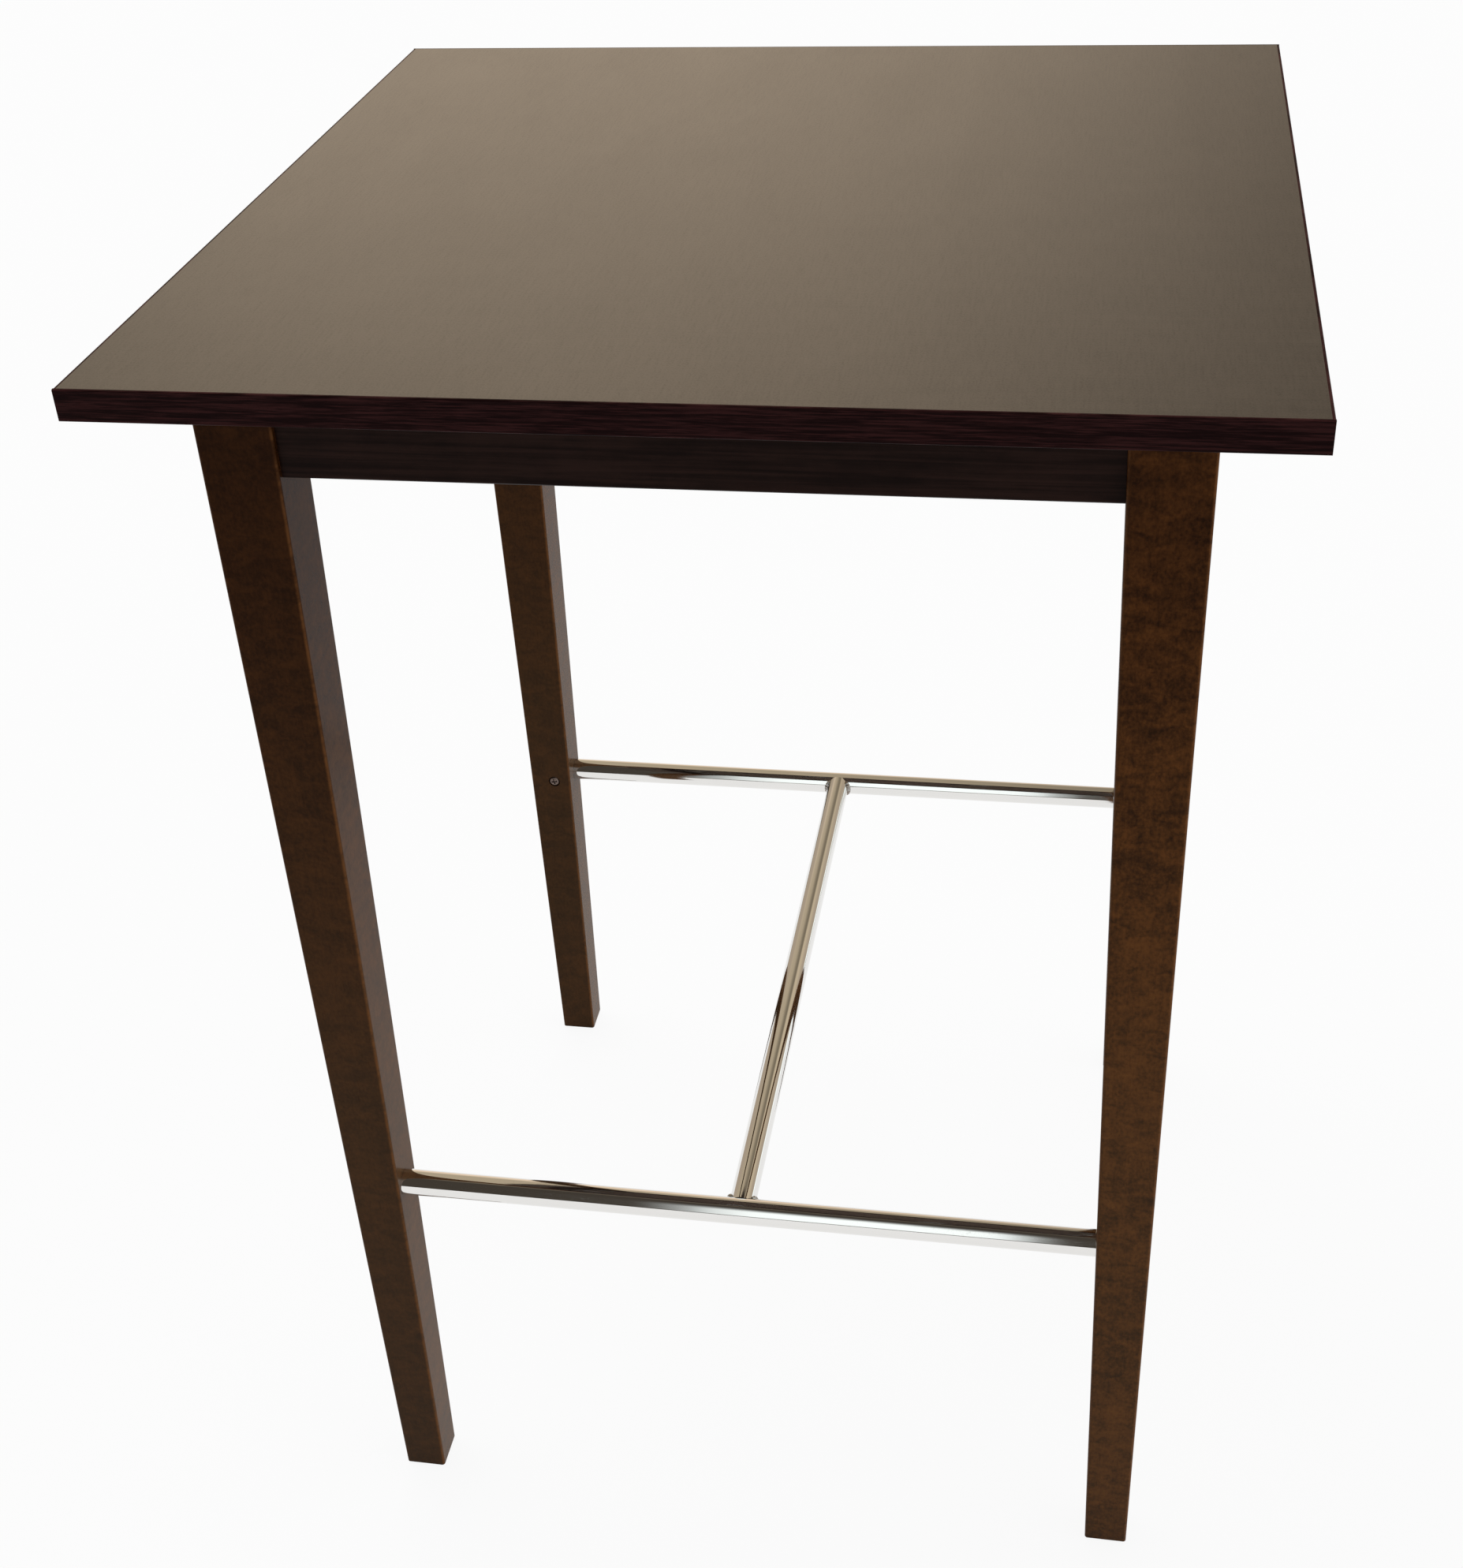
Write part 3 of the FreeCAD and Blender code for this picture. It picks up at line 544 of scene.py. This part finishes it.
def grown(name, mesh, tree, **inputs):
    """Runs a tree with named inputs on a mesh and gives the plain mesh that it makes."""
    carrier = add_object(name, mesh)
    modifier = carrier.modifiers.new(name, "NODES")
    modifier.node_group = tree
    for item in tree.interface.items_tree:
        if item.in_out == "INPUT" and item.name in inputs:
            modifier[item.identifier] = inputs[item.name]
    return plain_mesh(carrier)


def tree_with(name, sockets):
    """An empty Geometry Nodes tree with a geometry input and named inputs, and wires from its inputs."""
    tree = bpy.data.node_groups.new(name, "GeometryNodeTree")
    tree.interface.new_socket("Geometry", in_out="INPUT", socket_type="NodeSocketGeometry")
    tree.interface.new_socket("Geometry", in_out="OUTPUT", socket_type="NodeSocketGeometry")
    for label, kind in sockets.items():
        tree.interface.new_socket(label, in_out="INPUT", socket_type="NodeSocket" + kind)
    graph = Graph(tree)
    start = graph.node("NodeGroupInput")
    return graph, {label: start.output(label) for label in ("Geometry", *sockets)}


def close_tree(graph, geometry, finish=None):
    """Realizes the instances, shades the mesh, sets its material if it has one for all, and ends the tree."""
    real = graph.node("GeometryNodeRealizeInstances", None, {"Geometry": geometry})
    smooth = graph.node("GeometryNodeSetShadeSmooth", {"domain": "FACE"},
                        {"Geometry": real, "Shade Smooth": True})
    fold = graph.node("GeometryNodeInputMeshEdgeAngle")
    sharp = graph.node("FunctionNodeCompare", {"data_type": "FLOAT", "operation": "GREATER_THAN"},
                       {0: fold, 1: SHARP_ANGLE})
    edged = graph.node("GeometryNodeSetShadeSmooth", {"domain": "EDGE"},
                       {"Geometry": smooth, "Selection": sharp, "Shade Smooth": False})
    if finish:
        edged = graph.node("GeometryNodeSetMaterial", None, {"Geometry": edged, "Material": finish})
    graph.node("NodeGroupOutput", None, {"Geometry": edged})
    return graph.tree


def aimed(graph, points, piece):
    """One piece on each point, its Z along the point's aim."""
    aim = graph.node("GeometryNodeInputNamedAttribute", {"data_type": "FLOAT_VECTOR"}, {"Name": "aim"})
    turn = graph.node("FunctionNodeAlignRotationToVector", {"axis": "Z"}, {"Vector": aim})
    return graph.node("GeometryNodeInstanceOnPoints", None,
                      {"Points": points, "Instance": piece, "Rotation": turn})


def screw_tree():
    """Pan-head screws with a cross recess, one on each point, heads along the points' aim."""
    graph, given = tree_with("pan_head_screws", {
        "Head Diameter": "Float", "Head Height": "Float", "Shank Diameter": "Float", "Shank Length": "Float",
        "Seed": "Int", "Finish": "Material"})
    ball = graph.node("GeometryNodeMeshUVSphere", None, {"Segments": 40, "Rings": 20, "Radius": 1.0})
    x, y, z = graph.split(graph.node("GeometryNodeInputPosition"))
    radius = given["Head Diameter"] * 0.5
    crown = given["Head Height"] * graph.math("SQRT", graph.math("MAXIMUM", z, 0.0))
    head = graph.moved(ball, x * radius, y * radius, crown)
    long = given["Head Diameter"] * 0.6
    wide = given["Head Diameter"] * 0.16
    deep = given["Head Height"] * 1.5
    above = graph.vector(0.0, 0.0, given["Head Height"])
    blades = []
    for size in ((long, wide, deep), (wide, long, deep)):
        blade = graph.node("GeometryNodeMeshCube", None, {"Size": graph.vector(*size)})
        blades.append(graph.node("GeometryNodeTransform", None, {"Geometry": blade, "Translation": above}))
    crossed = graph.node("GeometryNodeMeshBoolean", {"operation": "DIFFERENCE", "solver": "EXACT"},
                         {"Mesh 1": head, "Mesh 2": blades})
    shank = graph.node("GeometryNodeMeshCylinder", None, {
        "Vertices": 20, "Radius": given["Shank Diameter"] * 0.5, "Depth": given["Shank Length"]})
    sunk = graph.node("GeometryNodeTransform", None, {
        "Geometry": shank, "Translation": graph.vector(0.0, 0.0, given["Shank Length"] * -0.5)})
    screw = graph.node("GeometryNodeJoinGeometry", None, {"Geometry": [crossed, sunk]})
    spin = graph.node("FunctionNodeRandomValue", {"data_type": "FLOAT"},
                      {2: 0.0, 3: math.pi / 2, "Seed": given["Seed"]})
    about = graph.node("FunctionNodeAxisAngleToRotation", None, {"Axis": (0, 0, 1), "Angle": spin})
    placed = aimed(graph, given["Geometry"], screw)
    turned = graph.node("GeometryNodeRotateInstances", None,
                        {"Instances": placed, "Rotation": about, "Local Space": True})
    return close_tree(graph, turned, given["Finish"])


def bolt_tree():
    """Threaded rods with a chamfered end, one from each point along its aim."""
    graph, given = tree_with("threaded_rods", {
        "Diameter": "Float", "Pitch": "Float", "Length": "Float", "Finish": "Material"})
    long = given["Length"]
    rod = graph.node("GeometryNodeMeshCylinder", None, {
        "Vertices": 28, "Side Segments": 150, "Fill Segments": 2, "Radius": 1.0, "Depth": 1.0})
    x, y, z = graph.split(graph.node("GeometryNodeInputPosition"))
    height = (z + 0.5) * long
    turns = height / given["Pitch"] - graph.math("ARCTAN2", y, x) / math.tau
    wave = graph.math("PINGPONG", turns, 0.5) * 2
    crest = given["Diameter"] * 0.5
    thread = crest - given["Pitch"] * 0.58 * graph.rise(wave, 0.92, 0.12)
    chamfer = crest - given["Pitch"] * 0.75 * (1 - graph.rise(long - height, 0.0, given["Pitch"]))
    radius = graph.math("MINIMUM", thread, chamfer)
    shaped = graph.moved(rod, x * radius, y * radius, height)
    return close_tree(graph, aimed(graph, given["Geometry"], shaped), given["Finish"])


def nut_tree():
    """Flange nuts: a hexagon with chamfered corners on a coned rim, one on each point along its aim."""
    graph, given = tree_with("flange_nuts", {
        "Across Flats": "Float", "Height": "Float", "Rim Diameter": "Float", "Rim Height": "Float",
        "Finish": "Material"})
    x, y, z = graph.split(graph.node("GeometryNodeInputPosition"))
    level = z + 0.5
    stub = graph.node("GeometryNodeMeshCylinder", None, {
        "Vertices": 72, "Side Segments": 16, "Fill Segments": 3, "Radius": 1.0, "Depth": 1.0})
    sixth = math.pi / 6
    flat = graph.math("PINGPONG", graph.math("ARCTAN2", y, x), sixth)
    half = given["Across Flats"] * 0.5
    hexagon = half / graph.math("COSINE", flat)
    below_top = given["Height"] * (1 - level)
    chamfer = half * 0.97 + below_top * 1.7
    radius = graph.math("MINIMUM", hexagon, chamfer)
    rim_height = given["Rim Height"]
    lifted = rim_height * 0.9 + level * (given["Height"] + rim_height * 0.1)
    body = graph.moved(stub, x * radius, y * radius, lifted)
    cone = given["Rim Diameter"] * 0.5 * (1 - 0.14 * graph.rise(level, 0.35, 1.0))
    rim = graph.moved(stub, x * cone, y * cone, level * rim_height)
    nut = graph.node("GeometryNodeJoinGeometry", None, {"Geometry": [body, rim]})
    return close_tree(graph, aimed(graph, given["Geometry"], nut), given["Finish"])


def glide_tree():
    """Nail-on glides: discs with rounded edges and a nail's head sunk in the sole, one on each point."""
    graph, given = tree_with("nail_on_glides", {
        "Diameter": "Float", "Height": "Float", "Edge": "Float", "Nail Diameter": "Float",
        "Finish": "Material", "Nail Finish": "Material"})
    x, y, z = graph.split(graph.node("GeometryNodeInputPosition"))
    disc = graph.node("GeometryNodeMeshCylinder", None, {
        "Vertices": 64, "Side Segments": 24, "Fill Segments": 16, "Radius": 1.0, "Depth": 1.0})
    half = given["Height"] * 0.5
    past = graph.math("MAXIMUM", abs(z) * given["Height"] - half + given["Edge"], 0.0) / given["Edge"]
    inset = given["Edge"] * (1 - graph.math("SQRT", graph.math("MAXIMUM", 1 - past * past, 0.0)))
    spread = given["Diameter"] * 0.5 - inset
    reach = graph.math("SQRT", x * x + y * y) * spread
    nail = given["Nail Diameter"] * 0.5
    sunk = given["Height"] * 0.3
    dish = sunk * graph.math("LESS_THAN", z, -0.499) * (1 - graph.rise(reach, nail * 1.15, nail * 1.5))
    sole = graph.moved(disc, x * spread, y * spread, (z + 0.5) * given["Height"] + dish)
    plastic = graph.node("GeometryNodeSetMaterial", None, {"Geometry": sole, "Material": given["Finish"]})
    ball = graph.node("GeometryNodeMeshUVSphere", None, {"Segments": 32, "Rings": 16, "Radius": 1.0})
    dome = graph.moved(ball, x * nail, y * nail, sunk + z * sunk * 0.7)
    metal = graph.node("GeometryNodeSetMaterial", None, {"Geometry": dome, "Material": given["Nail Finish"]})
    glide = graph.node("GeometryNodeJoinGeometry", None, {"Geometry": [plastic, metal]})
    placed = graph.node("GeometryNodeInstanceOnPoints", None,
                        {"Points": given["Geometry"], "Instance": glide})
    return close_tree(graph, placed)


def bead_tree():
    """Weld beads along lines, their thickness rippled and their ends rounded."""
    graph, given = tree_with("weld_bead", {
        "Bead Radius": "Float", "Ripple Depth": "Float", "Ripples": "Int", "Finish": "Material"})
    line = graph.node("GeometryNodeMeshToCurve", None, {"Mesh": given["Geometry"]})
    along = graph.node("GeometryNodeSplineParameter").output("Factor")
    phase = along * given["Ripples"] * math.tau
    ripple = 1 - given["Ripple Depth"] * abs(graph.math("SINE", phase * 0.5))
    round_end = graph.math("SQRT", graph.math("MAXIMUM", 1 - abs(along * 2 - 1) ** 6, 0.03))
    section = graph.node("GeometryNodeCurvePrimitiveCircle", None,
                         {"Resolution": 20, "Radius": given["Bead Radius"]})
    bead = graph.node("GeometryNodeCurveToMesh", None, {
        "Curve": line, "Profile Curve": section, "Scale": ripple * round_end, "Fill Caps": True})
    return close_tree(graph, bead, given["Finish"])


def points_mesh(name, spots):
    """A mesh of single points, each with the way that its screw's head faces."""
    mesh = bpy.data.meshes.new(name)
    mesh.from_pydata([place for place, aim in spots], [], [])
    aims = mesh.attributes.new("aim", "FLOAT_VECTOR", "POINT")
    for item, (place, aim) in zip(aims.data, spots):
        item.vector = aim
    return mesh


def lock_spots(fasteners):
    """Where the lock screws' heads sit: at the footrest's level on the legs' inner faces."""
    across = LOCK_HIGH.x - fasteners.lock_head / 2
    seat = LOCK_TOP + fasteners.lock_head_height
    return [((x * across, y * seat, BAR_LEVEL), (0, -y, 0)) for x, y in CORNERS.values()]


def bracket_spots(fasteners):
    """Where the corner brackets' screws sit: two on each flange, on the aprons' backs."""
    along = BRACKET_LOW.x + fasteners.bracket_end
    seat = APRON_INNER - PLATE
    middle = (BRACKET_LOW.z + BRACKET_HIGH.z) / 2
    levels = [middle + rise * fasteners.bracket_pitch / 2 for rise in (-1, 1)]
    spots = []
    for x, y in CORNERS.values():
        for level in levels:
            spots.append(((x * along, y * seat, level), (0, -y, 0)))
            spots.append(((x * seat, y * along, level), (-x, 0, 0)))
    return spots


def clip_spots(fasteners):
    """Where the clips' screws sit: one into the apron and one up into the top."""
    spots = []
    for quarter in range(len(SIDES)):
        turn = Matrix.Rotation(quarter * math.pi / 2, 3, "Z")
        for way in (-1, 1):
            along = way * fasteners.clip_place
            side = Vector((along, -APRON_INNER + PLATE, APRON_HIGH - fasteners.clip_screw))
            under = Vector((along, -APRON_INNER + fasteners.clip_screw, APRON_HIGH - PLATE))
            spots.append((turn @ side, turn @ Vector((0, 1, 0))))
            spots.append((turn @ under, Vector((0, 0, -1))))
    return spots


def bolt_spots(start):
    """Points on the hanger bolts' lines, so far inward of the bracket webs' backs, aimed at the middle."""
    back = BOLT_END + BOLT_PROUD / math.sqrt(2)
    place = back - start / math.sqrt(2)
    level = (BRACKET_LOW.z + BRACKET_HIGH.z) / 2
    return [((x * place, y * place, level), (-x, -y, 0)) for x, y in CORNERS.values()]


def seam_mesh(name, footrest):
    """The four lines of the welds, as edges, at the two sides of the centre bar at each cross bar."""
    lift = BEAD_LIFT * footrest.bead_radius
    points = []
    edges = []
    for side in (-1, 1):
        for way in (-1, 1):
            for step in range(SEAM_STEPS + 1):
                around = WELD_HALF * (2 * step / SEAM_STEPS - 1)
                out = BAR_RADIUS * math.cos(around) + lift
                points.append((way * out, side * (BAR_LINE - out), BAR_LEVEL + BAR_RADIUS * math.sin(around)))
                if step:
                    edges.append((len(points) - 2, len(points) - 1))
    mesh = bpy.data.meshes.new(name)
    mesh.from_pydata(points, edges, [])
    return mesh


class PUBTABLE_OT_top(bpy.types.Operator):
    """Dress the top: laminate, edge bands, board and balancing sheet"""

    bl_idname = "pub_table.top"
    bl_label = "Top"

    def execute(self, context):
        top = context.scene.pub_table_top
        dress(["top_laminate"], laminate_finish(top))
        dress(["edge_band_" + side for side in SIDES], band_finish(top))
        dress(["top_core"], core_finish())
        dress(["underside_backing"], backing_finish(top))
        return {"FINISHED"}


class PUBTABLE_OT_legs(bpy.types.Operator):
    """Dress the four legs"""

    bl_idname = "pub_table.legs"
    bl_label = "Legs"

    def execute(self, context):
        dress(["leg_" + corner for corner in CORNERS], leg_finish(context.scene.pub_table_wood))
        return {"FINISHED"}


class PUBTABLE_OT_aprons(bpy.types.Operator):
    """Dress the four aprons"""

    bl_idname = "pub_table.aprons"
    bl_label = "Aprons"

    def execute(self, context):
        dress(["apron_" + side for side in SIDES], apron_finish(context.scene.pub_table_wood))
        return {"FINISHED"}


class PUBTABLE_OT_footrest(bpy.types.Operator):
    """Dress the footrest's bars and lay its four weld beads"""

    bl_idname = "pub_table.footrest"
    bl_label = "Footrest"

    def execute(self, context):
        footrest = context.scene.pub_table_footrest
        dress([f"footrest_{bar}_bar" for bar in ("front", "back", "centre")], chrome_finish(footrest))
        mesh = grown("weld_beads", seam_mesh("weld_seams", footrest), bead_tree(), **{
            "Bead Radius": footrest.bead_radius, "Ripple Depth": footrest.bead_ripple,
            "Ripples": footrest.bead_count, "Finish": weld_finish(footrest)})
        add_piece("weld_beads", mesh, ["footrest_welds"])
        return {"FINISHED"}


class PUBTABLE_OT_fasteners(bpy.types.Operator):
    """Dress the brackets, clips, bolts and glides, and drive the screws"""

    bl_idname = "pub_table.fasteners"
    bl_label = "Fasteners"

    def execute(self, context):
        fasteners = context.scene.pub_table_fasteners
        zinc = steel_finish("zinc_plate", fasteners.zinc, 0.7, 0.36)
        bronze = steel_finish("bronzed_steel", fasteners.bronze, 0.7, 0.38)
        brackets = ["corner_bracket_" + corner for corner in CORNERS]
        dress([*brackets, "top_clips"], zinc)
        screws = screw_tree()
        wood = {"Head Diameter": fasteners.wood_head, "Head Height": fasteners.wood_head_height,
                "Shank Diameter": WOOD_SHANK[0], "Shank Length": WOOD_SHANK[1], "Finish": zinc}
        lock = {"Head Diameter": fasteners.lock_head, "Head Height": fasteners.lock_head_height,
                "Shank Diameter": LOCK_SHANK[0], "Shank Length": LOCK_SHANK[1], "Finish": bronze}
        for sizes in (wood, lock):
            sizes["Seed"] = fasteners.seed
        rod = {"Diameter": fasteners.bolt_size, "Pitch": fasteners.bolt_pitch,
               "Length": BOLT_PROUD + BOLT_ROOT, "Finish": zinc}
        nut = {"Across Flats": fasteners.nut_across, "Height": fasteners.nut_height,
               "Rim Diameter": fasteners.rim_size, "Rim Height": fasteners.rim_height, "Finish": zinc}
        glide = {"Diameter": GLIDE_HIGH.x - GLIDE_LOW.x, "Height": GLIDE_HIGH.z - GLIDE_LOW.z,
                 "Edge": fasteners.glide_bevel, "Nail Diameter": fasteners.nail_size,
                 "Finish": nylon_finish(fasteners), "Nail Finish": zinc}
        middle = (GLIDE_LOW.x + GLIDE_HIGH.x) / 2
        feet = [((x * middle, y * middle, GLIDE_LOW.z), (0, 0, 1)) for x, y in CORNERS.values()]
        glides = ["foot_glide_" + corner for corner in CORNERS]
        groups = (
            ("lock_screws", lock_spots(fasteners), screws, lock, "bronzed_screw", ["footrest_lock_screws"]),
            ("bracket_screws", bracket_spots(fasteners), screws, wood, "plated_steel", []),
            ("clip_screws", clip_spots(fasteners), screws, wood, "plated_steel", []),
            ("bolt_threads", bolt_spots(-BOLT_ROOT), bolt_tree(), rod, "plated_steel", ["hanger_bolts"]),
            ("flange_nuts", bolt_spots(PLATE), nut_tree(), nut, "plated_steel", ["hanger_nuts"]),
            ("foot_glides", feet, glide_tree(), glide, "glide_plastic", glides))
        for name, spots, tree, sizes, slot, replaced in groups:
            add_piece(name, grown(name, points_mesh(name, spots), tree, **sizes), replaced)
        return {"FINISHED"}


def sees_white(graph, gloss):
    """One for rays of the camera and rays through clear pieces, and so much for rays in gloss."""
    light = graph.node("ShaderNodeLightPath")
    plain = light.output("Is Camera Ray") + light.output("Is Transmission Ray")
    return plain + light.output("Is Glossy Ray") * gloss


def floor_finish():
    """Pale floor: white to the camera, in gloss and through clear pieces, with the table's shadow kept."""
    material = bpy.data.materials.new("pale_floor")
    material.use_nodes = True
    graph = Graph(material.node_tree)
    matt = graph.node("ShaderNodeBsdfDiffuse", None, {"Color": FLOOR_TONE})
    glow = graph.node("ShaderNodeEmission", None, {"Color": WHITE, "Strength": 1.0})
    white = sees_white(graph, 1.0) * WHITE_SHARE
    mixed = graph.node("ShaderNodeMixShader", None, {0: white, 1: matt, 2: glow})
    graph.node("ShaderNodeOutputMaterial", None, {"Surface": mixed})
    return material


def build_floor():
    """A large plain floor under the table."""
    reach = FLOOR_REACH
    mesh = bpy.data.meshes.new("floor")
    mesh.from_pydata([(-reach, -reach, 0), (reach, -reach, 0), (reach, reach, 0), (-reach, reach, 0)], [],
                     [(0, 1, 2, 3)])
    mesh.materials.append(floor_finish())
    floor = add_object("floor", mesh)


def build_world(stage):
    """White behind the table for the camera, and for gloss a warm room behind and a window in front."""
    world = bpy.data.worlds.new("studio")
    world.use_nodes = True
    bpy.context.scene.world = world
    graph = Graph(world.node_tree)
    x, y, z = graph.split(graph.node("ShaderNodeTexCoord").output("Generated"))
    behind = graph.rise(y, -0.25, 0.2)
    shade = graph.span(x, -0.05, 0.2, 0.3, 0.5)
    lit_wall = graph.span(x, -0.52, -0.36, -0.2, 0.15)
    plain_wall = graph.blend(shade, stage.room_wall, stage.room_shade)
    low_wall = graph.blend(lit_wall, plain_wall, shaded(stage.room_lit, stage.room_glow))
    doorway = graph.rise(x, 0.4, 0.55) * graph.span(z, -0.03, 0.02, 0.07, 0.13)
    daylight = shaded(stage.window, stage.window_glow)
    dim = shaded(stage.ceiling, 1 - stage.ceiling_dim)
    ceiling = graph.blend(graph.rise(x, -0.25, 0.15), stage.ceiling, dim)
    above = graph.blend(graph.rise(x, 0.2, 0.34), ceiling, shaded(stage.ceiling, RIGHT_CEILING))
    wall = graph.blend(graph.rise(z, 0.26, 0.54), graph.blend(doorway, low_wall, daylight), above)
    pier = graph.span(x, -0.035, 0.0, 0.1, 0.18)
    glass = graph.rise(x, -0.2, -0.14) * (1 - pier)
    pane = glass * graph.span(z, 0.0, 0.12, 0.65, 0.93)
    front = graph.blend(pane, stage.room_front, daylight)
    room = graph.blend(behind, front, wall)
    across = graph.blend(behind, shaded(WHITE, stage.fill_front), shaded(WHITE, stage.fill))
    fill = graph.blend(graph.rise(x, 0.6, 0.9), across, shaded(WHITE, stage.fill_right))
    gloss = graph.node("ShaderNodeLightPath").output("Is Glossy Ray")
    lit = graph.blend(gloss, fill, room)
    seen = graph.blend(sees_white(graph, 1 - stage.gloss_room), lit, WHITE)
    sky = graph.node("ShaderNodeBackground", None, {"Color": seen, "Strength": 1.0})
    graph.node("ShaderNodeOutputWorld", None, {"Surface": sky})


def build_light(stage):
    """One broad soft light from above, behind and left, kept out of reflections."""
    data = bpy.data.lights.new("key", "SUN")
    data.energy = stage.sun
    data.angle = SUN_ANGLE
    lamp = add_object("key", data)
    lamp.rotation_euler = Vector(SUN_AIM).to_track_quat("-Z", "Y").to_euler()
    lamp.visible_glossy = False


def build_camera(stage):
    """The camera, standing where the photograph was taken."""
    data = bpy.data.cameras.new("camera")
    data.lens = stage.lens
    camera = add_object("camera", data)
    turn = (Matrix.Rotation(-stage.heading, 3, "Z") @ Matrix.Rotation(math.pi / 2 - stage.dip, 3, "X")
            @ Matrix.Rotation(-stage.tilt, 3, "Z"))
    camera.matrix_world = Matrix.Translation(stage.eye) @ turn.to_4x4()
    bpy.context.scene.camera = camera


class PUBTABLE_OT_stage(bpy.types.Operator):
    """Set the stage: floor, surroundings, light and camera"""

    bl_idname = "pub_table.stage"
    bl_label = "Stage"

    def execute(self, context):
        stage = context.scene.pub_table_stage
        build_floor()
        build_world(stage)
        build_light(stage)
        build_camera(stage)
        context.scene.view_settings.view_transform = "Standard"
        return {"FINISHED"}


OPERATORS = (PUBTABLE_OT_top, PUBTABLE_OT_legs, PUBTABLE_OT_aprons, PUBTABLE_OT_footrest,
             PUBTABLE_OT_fasteners, PUBTABLE_OT_stage)
SETTINGS = {"pub_table_top": TopSettings, "pub_table_wood": WoodSettings,
            "pub_table_footrest": FootrestSettings, "pub_table_fasteners": FastenerSettings,
            "pub_table_stage": StageSettings}


class PUBTABLE_PT_panel(bpy.types.Panel):
    """Lists the table's pieces with their settings"""

    bl_idname = "PUBTABLE_PT_panel"
    bl_label = "Pub table"
    bl_space_type = "VIEW_3D"
    bl_region_type = "UI"
    bl_category = "Pub table"

    def draw(self, context):
        for operator in OPERATORS:
            self.layout.operator(operator.bl_idname)
        for name, group in SETTINGS.items():
            box = self.layout.box()
            for setting in group.__annotations__:
                box.prop(getattr(context.scene, name), setting)


def register():
    for group in SETTINGS.values():
        bpy.utils.register_class(group)
    for name, group in SETTINGS.items():
        setattr(bpy.types.Scene, name, PointerProperty(type=group))
    for item in (*OPERATORS, PUBTABLE_PT_panel):
        bpy.utils.register_class(item)


def unregister():
    for item in (PUBTABLE_PT_panel, *reversed(OPERATORS)):
        bpy.utils.unregister_class(item)
    for name, group in SETTINGS.items():
        delattr(bpy.types.Scene, name)
        bpy.utils.unregister_class(group)


def main():
    """Builds the looks in order."""
    register()
    for operator in OPERATORS:
        group, name = operator.bl_idname.split(".")
        getattr(getattr(bpy.ops, group), name)()


if __name__ == "__main__":
    main()
